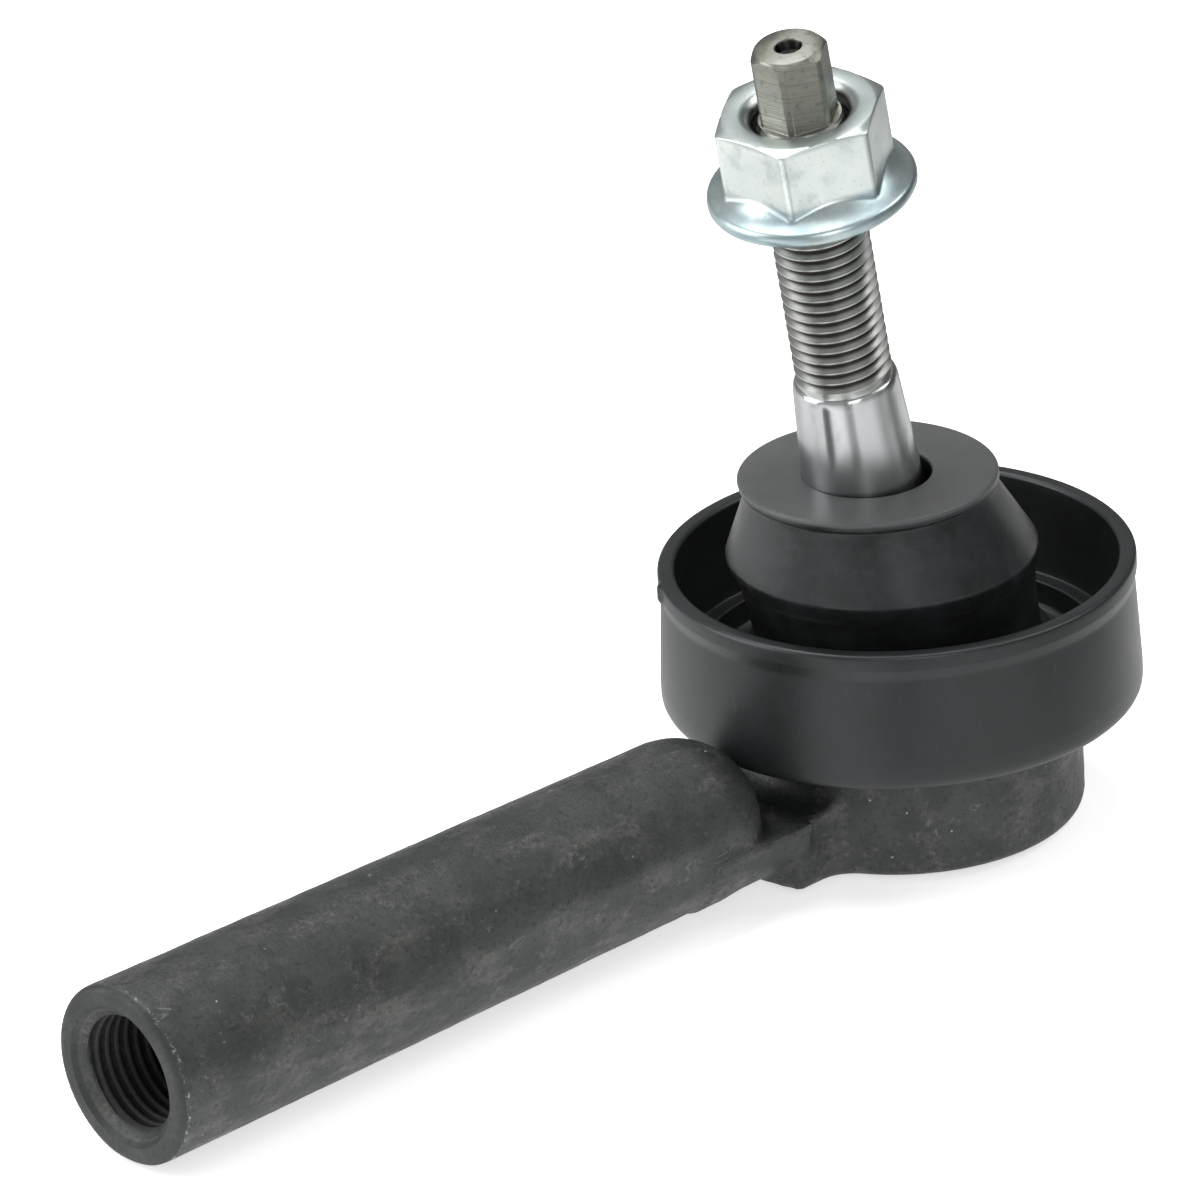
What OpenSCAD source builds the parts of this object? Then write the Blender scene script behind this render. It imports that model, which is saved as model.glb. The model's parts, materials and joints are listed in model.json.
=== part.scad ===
// Outer tie rod end: a forged arm with a female thread, and a ball joint with a tapered stud.
// Millimetres. The origin is the centre of the ball, +Z runs up the axis of the head, and the
// arm points along -X. The stud is drawn leaning, the way it is left after being handled.

/* [Head of the housing] */
// Outer radius of the round head
head_r = 22.3; // [21.8:0.1:24]
// Height of the underside of the head, measured from the centre of the ball
base_z = -11.3; // [-12:0.1:-11.2]
// Height of the shoulder that carries the shield cup
shoulder_z = 4.2; // [4:0.1:4.6]
// Radius of the neck above the shoulder
neck_r = 17; // [16.8:0.1:17.4]
// Height of the top of the neck
neck_top_z = 11.5; // [11.2:0.1:12]

/* [Arm] */
// Distance from the centre of the ball to the open end of the arm
arm_length = 129.2; // [110:0.1:150]
// Radius of the arm at its open end
arm_end_r = 11.4; // [11:0.1:13]
// Radius of the arm beside the head
arm_root_r = 10.6; // [10.2:0.1:11]
// Distance from the centre of the ball to where the arm's domed end starts
arm_dome_x = 39.4; // [39.4:0.1:42]
// Half the width of the web between the arm and the head
web_half_w = 9.2; // [7:0.1:10]
// Height of the top of the web
web_top_z = -1.4; // [-3:0.1:0]

/* [Rod thread] */
// Crest radius of the internal thread, size M16 x 1.5
rod_thread_r = 7.19; // [6.2:0.01:7.3]
// Depth of the threaded part
rod_thread_depth = 56; // [30:1:70]
// Depth of the lead-in countersink
rod_countersink = 1.2; // [0.4:0.1:2]

/* [Ball stud] */
// Radius of the ball
ball_r = 10; // [9.8:0.01:10.1]
// Lean of the stud towards the arm, in degrees from the head's axis
lean_back = 10.6; // [8:0.1:12]
// Lean of the stud towards -Y, in degrees
lean_side = 2.5; // [0:0.1:4]
// Radius of the neck beside the ball
stud_neck_r = 5.2; // [4.8:0.1:5.3]
// Distance along the stud at which the taper begins
taper_start = 28; // [27:0.1:30]
// Distance along the stud at which the taper ends
taper_end = 51; // [48:0.1:53]
// Radius of the thin end of the taper
taper_end_r = 6.58; // [6.4:0.01:6.9]
// Length of taper for each millimetre of diameter
taper_ratio = 8; // [8:1:12]
// Outer radius of the stud's thread, size M12 x 1.5
stud_thread_r = 6; // [5.8:0.01:6]
// Distance along the stud at which the thread ends
thread_end = 89.8; // [86:0.1:92]
// Distance along the stud to the end of the hexagonal tip
tip_end = 99; // [95:0.1:101]
// Width across the flats of the hexagonal tip
tip_af = 8.7; // [7:0.1:9]

/* [Flange nut] */
// Distance along the stud to the nut's lower face
nut_seat = 78.3; // [60:0.1:80]
// Height of the nut
nut_h = 12; // [10:0.1:14]
// Width across the nut's flats
nut_af = 19; // [18:0.1:19.5]
// Radius of the nut's flange
flange_r = 12.9; // [12:0.1:14]
// Turn of both hexagons about the stud, in degrees
hex_turn = 33.4; // [0:0.1:59.9]

/* [Shield cup] */
// Height of the rim
cup_rim_z = 22.5; // [20:0.1:24]
// Outer radius near the floor
cup_r = 30.1; // [29.5:0.1:31]
// Outer radius at the waist below the rim
cup_waist_r = 29.3; // [29:0.1:30]
// Outer radius of the rim
cup_rim_r = 29.8; // [29.4:0.1:31]
// Thickness of the wall
cup_wall = 2.2; // [1.6:0.1:2.6]
// Thickness of the floor
cup_floor = 2.6; // [2:0.1:2.8]

/* [Dust boot] */
// Height of the flat sealing face
boot_top_z = 36.8; // [36:0.1:38]
// Radius of the sealing disc
boot_disc_r = 16.2; // [15.5:0.1:17]
// Radius of the widest fold
boot_fold_r = 19.5; // [18.5:0.1:20]
// Height of the widest fold
boot_fold_z = 24.8; // [23:0.1:27]
// Radius of the lower bead
boot_bead_r = 19.4; // [19:0.1:20]
// Thickness of the rubber
boot_wall = 2; // [1.4:0.1:2.4]

/* [Hidden] */
$fn = 96;

// Gap left on each side of a running fit
running_gap = 0.05;
// Gap left between soft parts and what they touch
soft_gap = 0.1;
// Gap left between separate parts that only pass each other
free_gap = 0.3;
// Amount that a cutting shape runs past the surface it cuts
over = 1;

// Inside of the head, from the closing lip up to the mouth of the stud
socket_r = 15.5;
lip_r = 14.8;
lip_outer_r = 17.2;
lip_h = 0.7;
lip_bottom_z = base_z - lip_h;
lip_top_z = base_z + 0.4;
recess_r = socket_r + 1;
recess_top_z = base_z + 2.3;
socket_cone_z = 2.5;
socket_top_z = 7;
socket_top_r = 12.6;
mouth_r = 11.6;
mouth_top_r = 13.4;
base_chamfer = 1.6;
top_chamfer = 0.8;
neck_chamfer = 0.5;
groove_z = 8.4;
groove_h = 2;
groove_depth = 0.7;

// Arm and web
arm_chamfer = 0.9;
web_reach = 29;
web_head_x = 10;
drill_cone = 4;

// Bearings, spring and cover
race_r = ball_r + 0.03;
race_gap_z = 0.3;
lower_bearing_top_z = -1;
upper_race_lip_r = 8.86;
upper_race_mouth_r = 10.9;
lower_race_lip_r = 7.1;
lower_bearing_z = -7.6;
plate_top_z = lip_top_z + 1.5;
dish_r = 8.6;
dish_depth = 1;
dish_inset = 0.6;
spring_t = 0.8;
spring_inner_r = 8.6;
spring_outer_r = 15;

// Stud
ball_flat = -7.5;
neck_top = 16.5;
collar_h = 1.5;
taper_start_r = taper_end_r + (taper_end - taper_start) / (2 * taper_ratio);
shoulder_h = 1.2;
thread_chamfer = 0.8;
tip_chamfer_r = tip_af / 2 - 0.1;
tip_drill_r = 1;
tip_countersink_r = 1.9;
tip_drill_depth = 3;

// Nut
flange_edge = 1.2;
flange_cone_h = 3.6;
flange_cone_r = 10.2;
nut_bore_r = stud_thread_r + 0.07;
nut_countersink = 0.8;
nut_chamfer_r = nut_af / 2 - 0.3;
nut_chamfer_angle = 30;
flange_chamfer = 0.5;

// Shield cup
rim_band = 1.6;
waist_z = cup_rim_z - 2.8;
ledge_z = 9.8;
ledge_w = 2.6;
ledge_draft = 0.4;
ledge_fillet = 1;
cup_corner = 1.6;

// Boot: the circle of its disc is centred a little short of the stud's own axis
boot_shift = [-6.3, -2.1];
boot_bottom_z = shoulder_z + cup_floor + free_gap;
bead_top_z = neck_top_z - 0.5;
slice_h = 0.2;
disc_t = 1.4;
crown_t = 3.6;
under_disc_r = boot_disc_r - 1;
waist_fold_r = 17.9;
waist_fold_z = 17;
clip_r = boot_bead_r + 0.1;
clip_wire_r = 0.6;
clip_z = 9.4;
insert_r = 14;
insert_hole_r = 9.6;
insert_t = 1.2;
insert_z = boot_top_z - disc_t - insert_t;

STEEL = "#8d9297";
ZINC = "#c3c9c8";
FORGING = "#3c3f40";
PLASTIC = "#2d3033";
RUBBER = "#232527";
ACETAL = "#d9d5c6";

// Puts its children in the stud's own frame, with +Z along the stud and 0 at the ball's centre.
module along_stud() {
    rotate([lean_side, -lean_back, 0]) children();
}

// Puts its children in the arm's frame, with +Z running out along the arm.
module along_arm() {
    rotate([0, -90, 0]) children();
}

// Points of a circular arc of radius r about (0, cz), from angle a0 to a1 in steps.
function arc(r, cz, a0, a1, steps) =
    [for (i = [0 : steps]) let (a = a0 + (a1 - a0) * i / steps) [r * cos(a), cz + r * sin(a)]];

// ---- Housing ----

module head_outside() {
    rotate_extrude() polygon([
        [0, lip_bottom_z], [lip_outer_r, lip_bottom_z], [lip_outer_r + lip_h, base_z],
        [head_r - base_chamfer, base_z], [head_r, base_z + base_chamfer],
        [head_r, shoulder_z - top_chamfer], [head_r - top_chamfer, shoulder_z],
        [neck_r, shoulder_z], [neck_r, groove_z], [neck_r - groove_depth, groove_z],
        [neck_r - groove_depth, groove_z + groove_h], [neck_r, groove_z + groove_h],
        [neck_r, neck_top_z - neck_chamfer], [neck_r - neck_chamfer, neck_top_z], [0, neck_top_z]
    ]);
}

module head_inside() {
    rotate_extrude() polygon([
        [0, lip_bottom_z - over], [lip_r, lip_bottom_z - over], [lip_r, lip_top_z],
        [recess_r, lip_top_z], [recess_r, recess_top_z], [socket_r, recess_top_z],
        [socket_r, socket_cone_z], [socket_top_r, socket_top_z], [mouth_r, socket_top_z],
        [mouth_top_r, neck_top_z], [mouth_top_r, neck_top_z + over], [0, neck_top_z + over]
    ]);
}

module arm_outside() {
    along_arm() rotate_extrude() polygon(concat(
        [for (p = arc(arm_root_r, arm_dome_x, -90, 0, 12)) [max(p[0], 0), p[1]]],
        [
            [arm_end_r, arm_length - arm_chamfer], [arm_end_r - arm_chamfer, arm_length],
            [0, arm_length]
        ]
    ));
}

module arm_bore() {
    bottom = arm_length - rod_thread_depth;
    along_arm() rotate_extrude() polygon([
        [0, bottom - drill_cone], [rod_thread_r, bottom],
        [rod_thread_r, arm_length - rod_countersink],
        [rod_thread_r + rod_countersink, arm_length],
        [rod_thread_r + rod_countersink, arm_length + over], [0, arm_length + over]
    ]);
}

// Flat-topped bridge that joins the lower half of the arm to the side of the head.
module web() {
    translate([0, 0, base_z]) linear_extrude(web_top_z - base_z) intersection() {
        circle(r = web_reach);
        translate([-web_reach, -web_half_w]) square([web_reach - web_head_x, 2 * web_half_w]);
    }
    intersection() {
        along_arm() translate([0, 0, web_reach - 1])
            cylinder(h = arm_dome_x + 2 - web_reach, r = arm_root_r);
        translate([-arm_dome_x - 2, -arm_root_r, base_z])
            cube([arm_dome_x, 2 * arm_root_r, web_top_z - base_z]);
    }
}

module housing() {
    color(FORGING) difference() {
        union() {
            head_outside();
            arm_outside();
            web();
        }
        head_inside();
        arm_bore();
    }
}

// ---- Bearings and closing parts ----

// Race pressed into the top of the socket, above the ball.
module upper_bearing() {
    lip_angle = acos(upper_race_lip_r / race_r);
    color(ACETAL) rotate_extrude() polygon(concat(
        [[socket_r, -race_gap_z], [socket_r, socket_cone_z], [socket_top_r, socket_top_z]],
        [[upper_race_mouth_r, socket_top_z]],
        arc(race_r, 0, lip_angle, -asin(race_gap_z / race_r), 16)
    ));
}

// Cup under the ball, which slides in the socket and is pushed up by the spring.
module lower_bearing() {
    lip_angle = acos(lower_race_lip_r / race_r);
    bearing_r = socket_r - running_gap;
    color(ACETAL) rotate_extrude() polygon(concat(
        [[bearing_r, lower_bearing_top_z], [bearing_r, lower_bearing_z]],
        [[lower_race_lip_r, lower_bearing_z]],
        arc(race_r, 0, -lip_angle, asin(lower_bearing_top_z / race_r), 16)
    ));
}

// Coned spring washer between the cover and the lower bearing.
module preload_spring() {
    top = lower_bearing_z - running_gap;
    color(STEEL) rotate_extrude() polygon([
        [spring_outer_r, plate_top_z], [spring_outer_r, plate_top_z + spring_t],
        [spring_inner_r, top], [spring_inner_r, top - spring_t]
    ]);
}

// Dished plate that closes the underside, held by the lip rolled over its edge.
module cover_plate() {
    color(STEEL) rotate_extrude() polygon([
        [0, lip_top_z - dish_depth], [dish_r, lip_top_z - dish_depth],
        [dish_r + dish_depth, lip_top_z], [recess_r, lip_top_z], [recess_r, plate_top_z],
        [dish_r + dish_depth - dish_inset, plate_top_z],
        [dish_r - dish_inset, plate_top_z - dish_depth],
        [0, plate_top_z - dish_depth]
    ]);
}

module cover_seal() {
    color(RUBBER) translate([0, 0, plate_top_z]) difference() {
        cylinder(h = recess_top_z - plate_top_z, r = recess_r);
        translate([0, 0, -over]) cylinder(h = 2 * over + recess_top_z - plate_top_z, r = socket_r);
    }
}

// ---- Shield cup ----

module shield_cup() {
    floor_top = shoulder_z + cup_floor;
    ledge_r = cup_r - cup_wall - ledge_w;
    color(PLASTIC) rotate_extrude() polygon(concat(
        [[neck_r, shoulder_z]],
        [for (a = [-90 : 15 : 0])
            [cup_r - cup_corner + cup_corner * cos(a), shoulder_z + cup_corner * (1 + sin(a))]],
        [
            [cup_waist_r, waist_z], [cup_rim_r, cup_rim_z - rim_band], [cup_rim_r, cup_rim_z],
            [cup_rim_r - cup_wall, cup_rim_z], [cup_r - cup_wall - ledge_draft, ledge_z],
            [ledge_r, ledge_z], [ledge_r, floor_top + ledge_fillet],
            [ledge_r - ledge_fillet, floor_top], [neck_r, floor_top]
        ]
    ));
}

// ---- Boot and its rings ----

// Centre of the boot's round section at height z: it follows the stud above the bead.
function boot_centre(z) = boot_shift * max(0, (z - bead_top_z) / (boot_top_z - bead_top_z));

module boot_section(z, r) {
    c = boot_centre(z);
    translate([c[0], c[1], z]) cylinder(h = slice_h, r = r, $fn = 40);
}

// Stack of three blended stages, made thinner by inset for the inside.
module boot_stages(inset, bottom, top) {
    hull() {
        boot_section(bottom, boot_bead_r - inset);
        boot_section(waist_fold_z, waist_fold_r - inset);
    }
    hull() {
        boot_section(waist_fold_z, waist_fold_r - inset);
        boot_section(boot_fold_z, boot_fold_r - inset);
    }
    hull() {
        boot_section(boot_fold_z, boot_fold_r - inset);
        boot_section(top, under_disc_r - inset);
    }
}

module boot_clip() {
    color(STEEL) translate([0, 0, clip_z]) rotate_extrude()
        translate([clip_r, 0]) circle(r = clip_wire_r, $fn = 32);
}

module dust_boot() {
    disc = boot_centre(boot_top_z);
    crown_z = boot_top_z - crown_t;
    inside_z = neck_top_z + free_gap;
    color(RUBBER) difference() {
        union() {
            boot_stages(0, bead_top_z, boot_top_z - disc_t - slice_h);
            translate([0, 0, boot_bottom_z])
                cylinder(h = bead_top_z + slice_h / 2 - boot_bottom_z, r = boot_bead_r);
            translate([disc[0], disc[1], boot_top_z - disc_t]) cylinder(h = disc_t, r = boot_disc_r);
        }
        boot_stages(boot_wall, inside_z, crown_z);
        translate([0, 0, boot_bottom_z - over])
            cylinder(h = inside_z + slice_h / 2 + over - boot_bottom_z, r = neck_r + soft_gap);
        translate([0, 0, clip_z]) rotate_extrude()
            translate([clip_r, 0]) circle(r = clip_wire_r + soft_gap, $fn = 32);
        translate([disc[0], disc[1], insert_z - soft_gap]) difference() {
            cylinder(h = insert_t + 2 * soft_gap, r = insert_r + soft_gap);
            translate([0, 0, -over]) cylinder(h = insert_t + 2 * over, r = insert_hole_r - soft_gap);
        }
        along_stud() translate([0, 0, taper_start]) cylinder(
            h = taper_end - taper_start, r1 = taper_start_r + soft_gap, r2 = taper_end_r + soft_gap
        );
    }
}

// Steel ring moulded inside the boot's crown, which keeps the sealing face flat.
module boot_insert() {
    disc = boot_centre(boot_top_z);
    color(STEEL) translate([disc[0], disc[1], insert_z]) difference() {
        cylinder(h = insert_t, r = insert_r);
        translate([0, 0, -over]) cylinder(h = insert_t + 2 * over, r = insert_hole_r);
    }
}

// ---- Stud and nut ----

module ball_stud() {
    ball_top = asin(-ball_flat / ball_r);
    ball_neck = acos(stud_neck_r / ball_r);
    tip_h = tip_end - thread_end + over;
    countersink_h = tip_countersink_r - tip_drill_r;
    color(STEEL) along_stud() difference() {
        union() {
            rotate_extrude() polygon(concat(
                [[0, ball_flat]],
                arc(ball_r, 0, -ball_top, ball_neck, 24),
                [
                    [stud_neck_r, neck_top], [taper_start_r, taper_start - collar_h],
                    [taper_start_r, taper_start], [taper_end_r, taper_end],
                    [stud_thread_r, taper_end + shoulder_h],
                    [stud_thread_r, thread_end - thread_chamfer],
                    [stud_thread_r - thread_chamfer, thread_end], [0, thread_end]
                ]
            ));
            rotate([0, 0, hex_turn]) translate([0, 0, thread_end - over]) intersection() {
                cylinder(h = tip_h, r = tip_af / sqrt(3), $fn = 6);
                cylinder(h = tip_h, r1 = tip_chamfer_r + tip_h, r2 = tip_chamfer_r);
            }
        }
        translate([0, 0, tip_end - tip_drill_depth])
            cylinder(h = tip_drill_depth + over, r = tip_drill_r);
        translate([0, 0, tip_end - countersink_h])
            cylinder(h = countersink_h, r1 = tip_drill_r, r2 = tip_countersink_r);
    }
}

module flange_nut() {
    color(ZINC) along_stud() translate([0, 0, nut_seat]) difference() {
        union() {
            rotate([0, 0, hex_turn]) intersection() {
                cylinder(h = nut_h, r = nut_af / sqrt(3), $fn = 6);
                cylinder(
                    h = nut_h, r1 = nut_chamfer_r + nut_h / tan(nut_chamfer_angle),
                    r2 = nut_chamfer_r
                );
            }
            rotate_extrude() polygon([
                [0, 0], [flange_r - flange_chamfer, 0], [flange_r, flange_chamfer],
                [flange_r, flange_edge],
                [flange_cone_r, flange_cone_h], [0, flange_cone_h]
            ]);
        }
        translate([0, 0, -over]) cylinder(h = nut_h + 2 * over, r = nut_bore_r);
        translate([0, 0, nut_h - nut_countersink]) cylinder(
            h = nut_countersink, r1 = nut_bore_r, r2 = nut_bore_r + nut_countersink
        );
        cylinder(h = nut_countersink, r1 = nut_bore_r + nut_countersink, r2 = nut_bore_r);
    }
}

housing();
upper_bearing();
lower_bearing();
preload_spring();
cover_plate();
cover_seal();
shield_cup();
boot_clip();
dust_boot();
boot_insert();
ball_stud();
flange_nut();
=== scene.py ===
# %% [markdown]
# # Outer tie rod end
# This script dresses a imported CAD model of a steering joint: a forged arm with a female thread,
# a round head that holds a ball, a tapered stud leaning out of it, a rubber boot, a shield cup
# and a flange nut. The CAD model fixes every size and every joint. What is made here is what a
# person sees and touches: rounded edges, real threads, forging skin, moulded rubber and plating.
# The frame is loaded first, because each piece below takes its place from it.

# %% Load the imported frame
import json
import math

import bmesh
import bpy
import numpy as np
from mathutils import Matrix, Vector, noise


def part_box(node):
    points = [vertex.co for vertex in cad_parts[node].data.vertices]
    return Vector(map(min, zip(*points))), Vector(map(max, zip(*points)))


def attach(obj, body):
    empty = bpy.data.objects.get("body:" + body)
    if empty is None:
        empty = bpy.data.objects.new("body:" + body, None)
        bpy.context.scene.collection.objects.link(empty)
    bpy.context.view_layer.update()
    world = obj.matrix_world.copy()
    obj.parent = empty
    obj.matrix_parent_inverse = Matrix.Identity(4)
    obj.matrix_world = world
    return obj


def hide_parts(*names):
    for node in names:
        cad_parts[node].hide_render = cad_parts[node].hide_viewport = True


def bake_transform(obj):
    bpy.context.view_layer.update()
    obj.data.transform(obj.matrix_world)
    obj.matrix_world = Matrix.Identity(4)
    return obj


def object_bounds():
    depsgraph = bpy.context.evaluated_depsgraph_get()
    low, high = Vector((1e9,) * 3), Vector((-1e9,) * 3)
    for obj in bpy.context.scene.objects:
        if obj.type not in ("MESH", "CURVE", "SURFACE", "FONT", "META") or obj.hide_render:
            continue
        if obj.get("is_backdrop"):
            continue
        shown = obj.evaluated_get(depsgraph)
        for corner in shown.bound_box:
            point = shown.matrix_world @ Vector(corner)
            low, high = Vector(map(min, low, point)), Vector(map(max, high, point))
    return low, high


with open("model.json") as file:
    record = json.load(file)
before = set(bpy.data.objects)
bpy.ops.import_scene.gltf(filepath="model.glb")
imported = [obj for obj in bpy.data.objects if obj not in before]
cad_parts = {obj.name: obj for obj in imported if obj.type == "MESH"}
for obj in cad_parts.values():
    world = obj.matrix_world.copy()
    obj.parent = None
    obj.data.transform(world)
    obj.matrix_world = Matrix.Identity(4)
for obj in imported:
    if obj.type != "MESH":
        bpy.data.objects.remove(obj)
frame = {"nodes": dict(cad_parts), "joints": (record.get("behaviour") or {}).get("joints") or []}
CAD_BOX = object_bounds()
MM = 0.001
SEED = 20
print("nodes:", ", ".join(sorted(frame["nodes"])))

# %% [markdown]
# ## Measuring the frame
# Blender works in metres, but a machinist thinks in millimetres, so the lengths below are in
# millimetres and one constant turns them into metres. Most of them are read off the CAD nodes.
# The stud leans, so a box says little about it: its nodes are measured along their own axis.

# %% Measure the nodes
def box_mm(node):
    """Lowest and highest corner of a CAD node, in millimetres."""
    low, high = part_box(node)
    return low / MM, high / MM


def joint_axis(name):
    """Direction of one of the record's joints."""
    found = [joint for joint in frame["joints"] if joint["name"] == name]
    return Vector(found[0]["axis"]).normalized()


def reach_along(node, axis):
    """Lowest and highest distance of a node's points along an axis through the origin."""
    points = np.array([v.co for v in frame["nodes"][node].data.vertices]) / MM
    along = points @ np.array(axis)
    return along.min(), along.max()


STUD_AXIS = joint_axis("stud_spin")
lean_side = math.asin(-STUD_AXIS.y)
lean_back = math.atan2(-STUD_AXIS.x, STUD_AXIS.z)
STUD_FRAME = Matrix.Rotation(-lean_back, 3, "Y") @ Matrix.Rotation(lean_side, 3, "X")
ball_bottom, tip_end = reach_along("ball_stud", STUD_AXIS)
nut_seat, nut_top = reach_along("flange_nut", STUD_AXIS)
housing_low, housing_high = box_mm("housing")
cup_low, cup_high = box_mm("shield_cup")
boot_low, boot_high = box_mm("dust_boot")
print(f"stud from {ball_bottom:.1f} to {tip_end:.1f} mm, nut from {nut_seat:.1f} to {nut_top:.1f} mm")

# %% [markdown]
# ## Camera
# A long lens far away keeps parallel edges nearly parallel, as in a catalogue picture. The
# camera looks at the middle of the part from the open end of the arm, and leans a little to
# the side, which a hand-held or roughly levelled camera does.

# %% Camera
VIEW_AZIMUTH = math.radians(-41.57)
VIEW_ELEVATION = math.radians(24.52)
VIEW_ROLL = math.radians(-3.33)
VIEW_DISTANCE = 1245.7
AIM_HEIGHT = 45.85
LENS = 309.3

aim = Vector(((CAD_BOX[0].x + CAD_BOX[1].x) / 2, 0, CAD_BOX[0].z + AIM_HEIGHT * MM))
back = Vector((
    math.sin(VIEW_AZIMUTH) * math.cos(VIEW_ELEVATION),
    -math.cos(VIEW_AZIMUTH) * math.cos(VIEW_ELEVATION),
    math.sin(VIEW_ELEVATION),
))
camera = bpy.data.objects.new("camera", bpy.data.cameras.new("camera"))
camera.data.lens = LENS
camera.data.sensor_width = 36
camera.data.clip_start = 0.1
camera.data.clip_end = 20
camera.location = aim + back * VIEW_DISTANCE * MM
camera.rotation_mode = "QUATERNION"
level = (-back).to_track_quat("-Z", "Y")
camera.rotation_quaternion = level @ Matrix.Rotation(VIEW_ROLL, 3, "Z").to_quaternion()
bpy.context.scene.collection.objects.link(camera)
bpy.context.scene.camera = camera
print("camera at", [round(x, 3) for x in camera.location])

# %% [markdown]
# ## Outlines with rounded corners
# Nearly every piece here was turned, moulded or pressed round an axis. Such a piece is a
# flat outline swept round a circle. Real edges are never sharp, and a fillet is what catches
# the light, so an outline is written as corners with a radius each, and a helper draws the arcs.

# %% Rounded outline
ARC_STEPS = 5


def rounded(corners, closed=False):
    """Points of an outline given as (radius, height, fillet) corners, with arcs at the fillets."""
    points = []
    count = len(corners)
    for i, (x, y, fillet) in enumerate(corners):
        here = Vector((x, y))
        if fillet == 0 or (not closed and i in (0, count - 1)):
            points.append(here)
            continue
        before = Vector(corners[i - 1][:2]) - here
        after = Vector(corners[(i + 1) % count][:2]) - here
        half = before.angle(after) / 2
        cut = min(fillet / math.tan(half), 0.49 * before.length, 0.49 * after.length)
        radius = cut * math.tan(half)
        start = here + before.normalized() * cut
        end = here + after.normalized() * cut
        middle = (before.normalized() + after.normalized()).normalized()
        centre = here + middle * radius / math.sin(half)
        swing = (end - centre).angle_signed(start - centre)
        first = math.atan2(start.y - centre.y, start.x - centre.x)
        for k in range(ARC_STEPS + 1):
            angle = first + swing * k / ARC_STEPS
            points.append(centre + radius * Vector((math.cos(angle), math.sin(angle))))
    return points


def finer(outline, longest, closed=False):
    """The outline with its long stretches cut into pieces no longer than this."""
    points = []
    ends = outline[1:] + (outline[:1] if closed else [])
    for a, b in zip(outline, ends):
        parts = max(1, math.ceil((b - a).length / longest))
        points += [a.lerp(b, k / parts) for k in range(parts)]
    return points if closed else points + outline[-1:]


# %% [markdown]
# ## From rings to a mesh
# A ring is a row of points round the axis. A row may be sheared, which is all that a screw
# thread is: the end of each ring is joined to the ring one pitch further on. Points that land
# on each other, as at the tip of a cone, are merged afterwards.

# %% Build a mesh from rings
def make_piece(name, points, faces, place=None):
    """A mesh object from points in millimetres, turned by a matrix if one is given."""
    points = np.asarray(points, float).reshape(-1, 3)
    if place is not None:
        points = points @ np.array(place).T
    mesh = bpy.data.meshes.new(name)
    mesh.from_pydata((points * MM).tolist(), [], faces)
    made = bpy.data.objects.new(name, mesh)
    bpy.context.scene.collection.objects.link(made)
    return made


def ring_faces(rows, columns, closed=False, shift=0):
    """Faces between rows of points. The last column joins the first one, shift rows further on."""
    faces = []
    for i in range(rows if closed else rows - 1):
        for j in range(columns):
            turn = shift if j == columns - 1 else 0
            upper = (i + 1) % rows
            if not closed and upper + turn >= rows:
                continue
            right = (j + 1) % columns
            a, b = i * columns + j, (i + turn) % rows * columns + right
            c, d = (upper + turn) % rows * columns + right, upper * columns + j
            faces.append((a, b, c, d))
    return faces


def weld(made, crease=35, reach=0.003):
    """Merges points that coincide, faces everything outwards, and shades all but the creases smooth."""
    work = bmesh.new()
    work.from_mesh(made.data)
    bmesh.ops.remove_doubles(work, verts=work.verts, dist=reach * MM)
    bmesh.ops.dissolve_degenerate(work, edges=work.edges, dist=reach * MM / 4)
    bmesh.ops.recalc_face_normals(work, faces=work.faces)
    work.to_mesh(made.data)
    work.free()
    made.data.shade_smooth()
    made.data.set_sharp_from_angle(angle=math.radians(crease))
    return made


def around(columns, turn=0):
    """The angles of the columns of a ring, the first one at turn degrees."""
    return np.arange(columns) * 2 * np.pi / columns + math.radians(turn)


def revolve(name, outline, columns, closed=True, bend=None):
    """A turned piece. bend, if given, moves the points of the finished rings."""
    angle = around(columns)
    rows = [
        np.stack([p[0] * np.cos(angle), p[0] * np.sin(angle), np.full(columns, p[1])], 1)
        for p in outline
    ]
    points = np.concatenate(rows)
    if bend is not None:
        points = bend(points)
    return weld(make_piece(name, points, ring_faces(len(outline), columns, closed)))


# %% [markdown]
# ## Screw threads
# A metric thread has flanks at 60 degrees, a narrow flat crest and a wider flat root. The
# profile is a function of where a point lies within one turn, so the same function cuts the
# stud's thread and the hole in the arm. At its ends the profile fades into a plain ring.

# %% Thread profile and thread rows
CREST_END, ROOT_START, ROOT_END = 0.125, 0.4375, 0.6875
THREAD_MARKS = (0, CREST_END, ROOT_START, ROOT_END)
NUDGE = 1e-6  # keeps a row that lies on a mark on the same side of it all round


def thread_height(phase):
    """1 on the crest and 0 in the root, for a phase within one turn."""
    return np.interp(phase % 1, (*THREAD_MARKS, 1), (1, 1, 0, 0, 1))


def thread_rows(angle, start, end, pitch, radius_at):
    """Rows of (radius, angle, height) along a right-hand thread, clamped to its two ends."""
    lead = (angle - angle[0]) / (2 * np.pi)
    rows = []
    for turn in range(-1, math.ceil((end - start) / pitch) + 2):
        for mark in THREAD_MARKS:
            along = np.clip(start + (turn + mark + lead) * pitch, start, end)
            height = thread_height((along - start) / pitch - lead + NUDGE)
            rows.append(np.stack([radius_at(height, along), angle, along], 1))
    return rows


def plain_rows(angle, outline):
    """Rows of (radius, angle, height) where radius and height may change round the ring."""
    full = np.ones(len(angle))
    return [np.stack([full * r, angle, full * z], 1) for r, z in outline]


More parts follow.
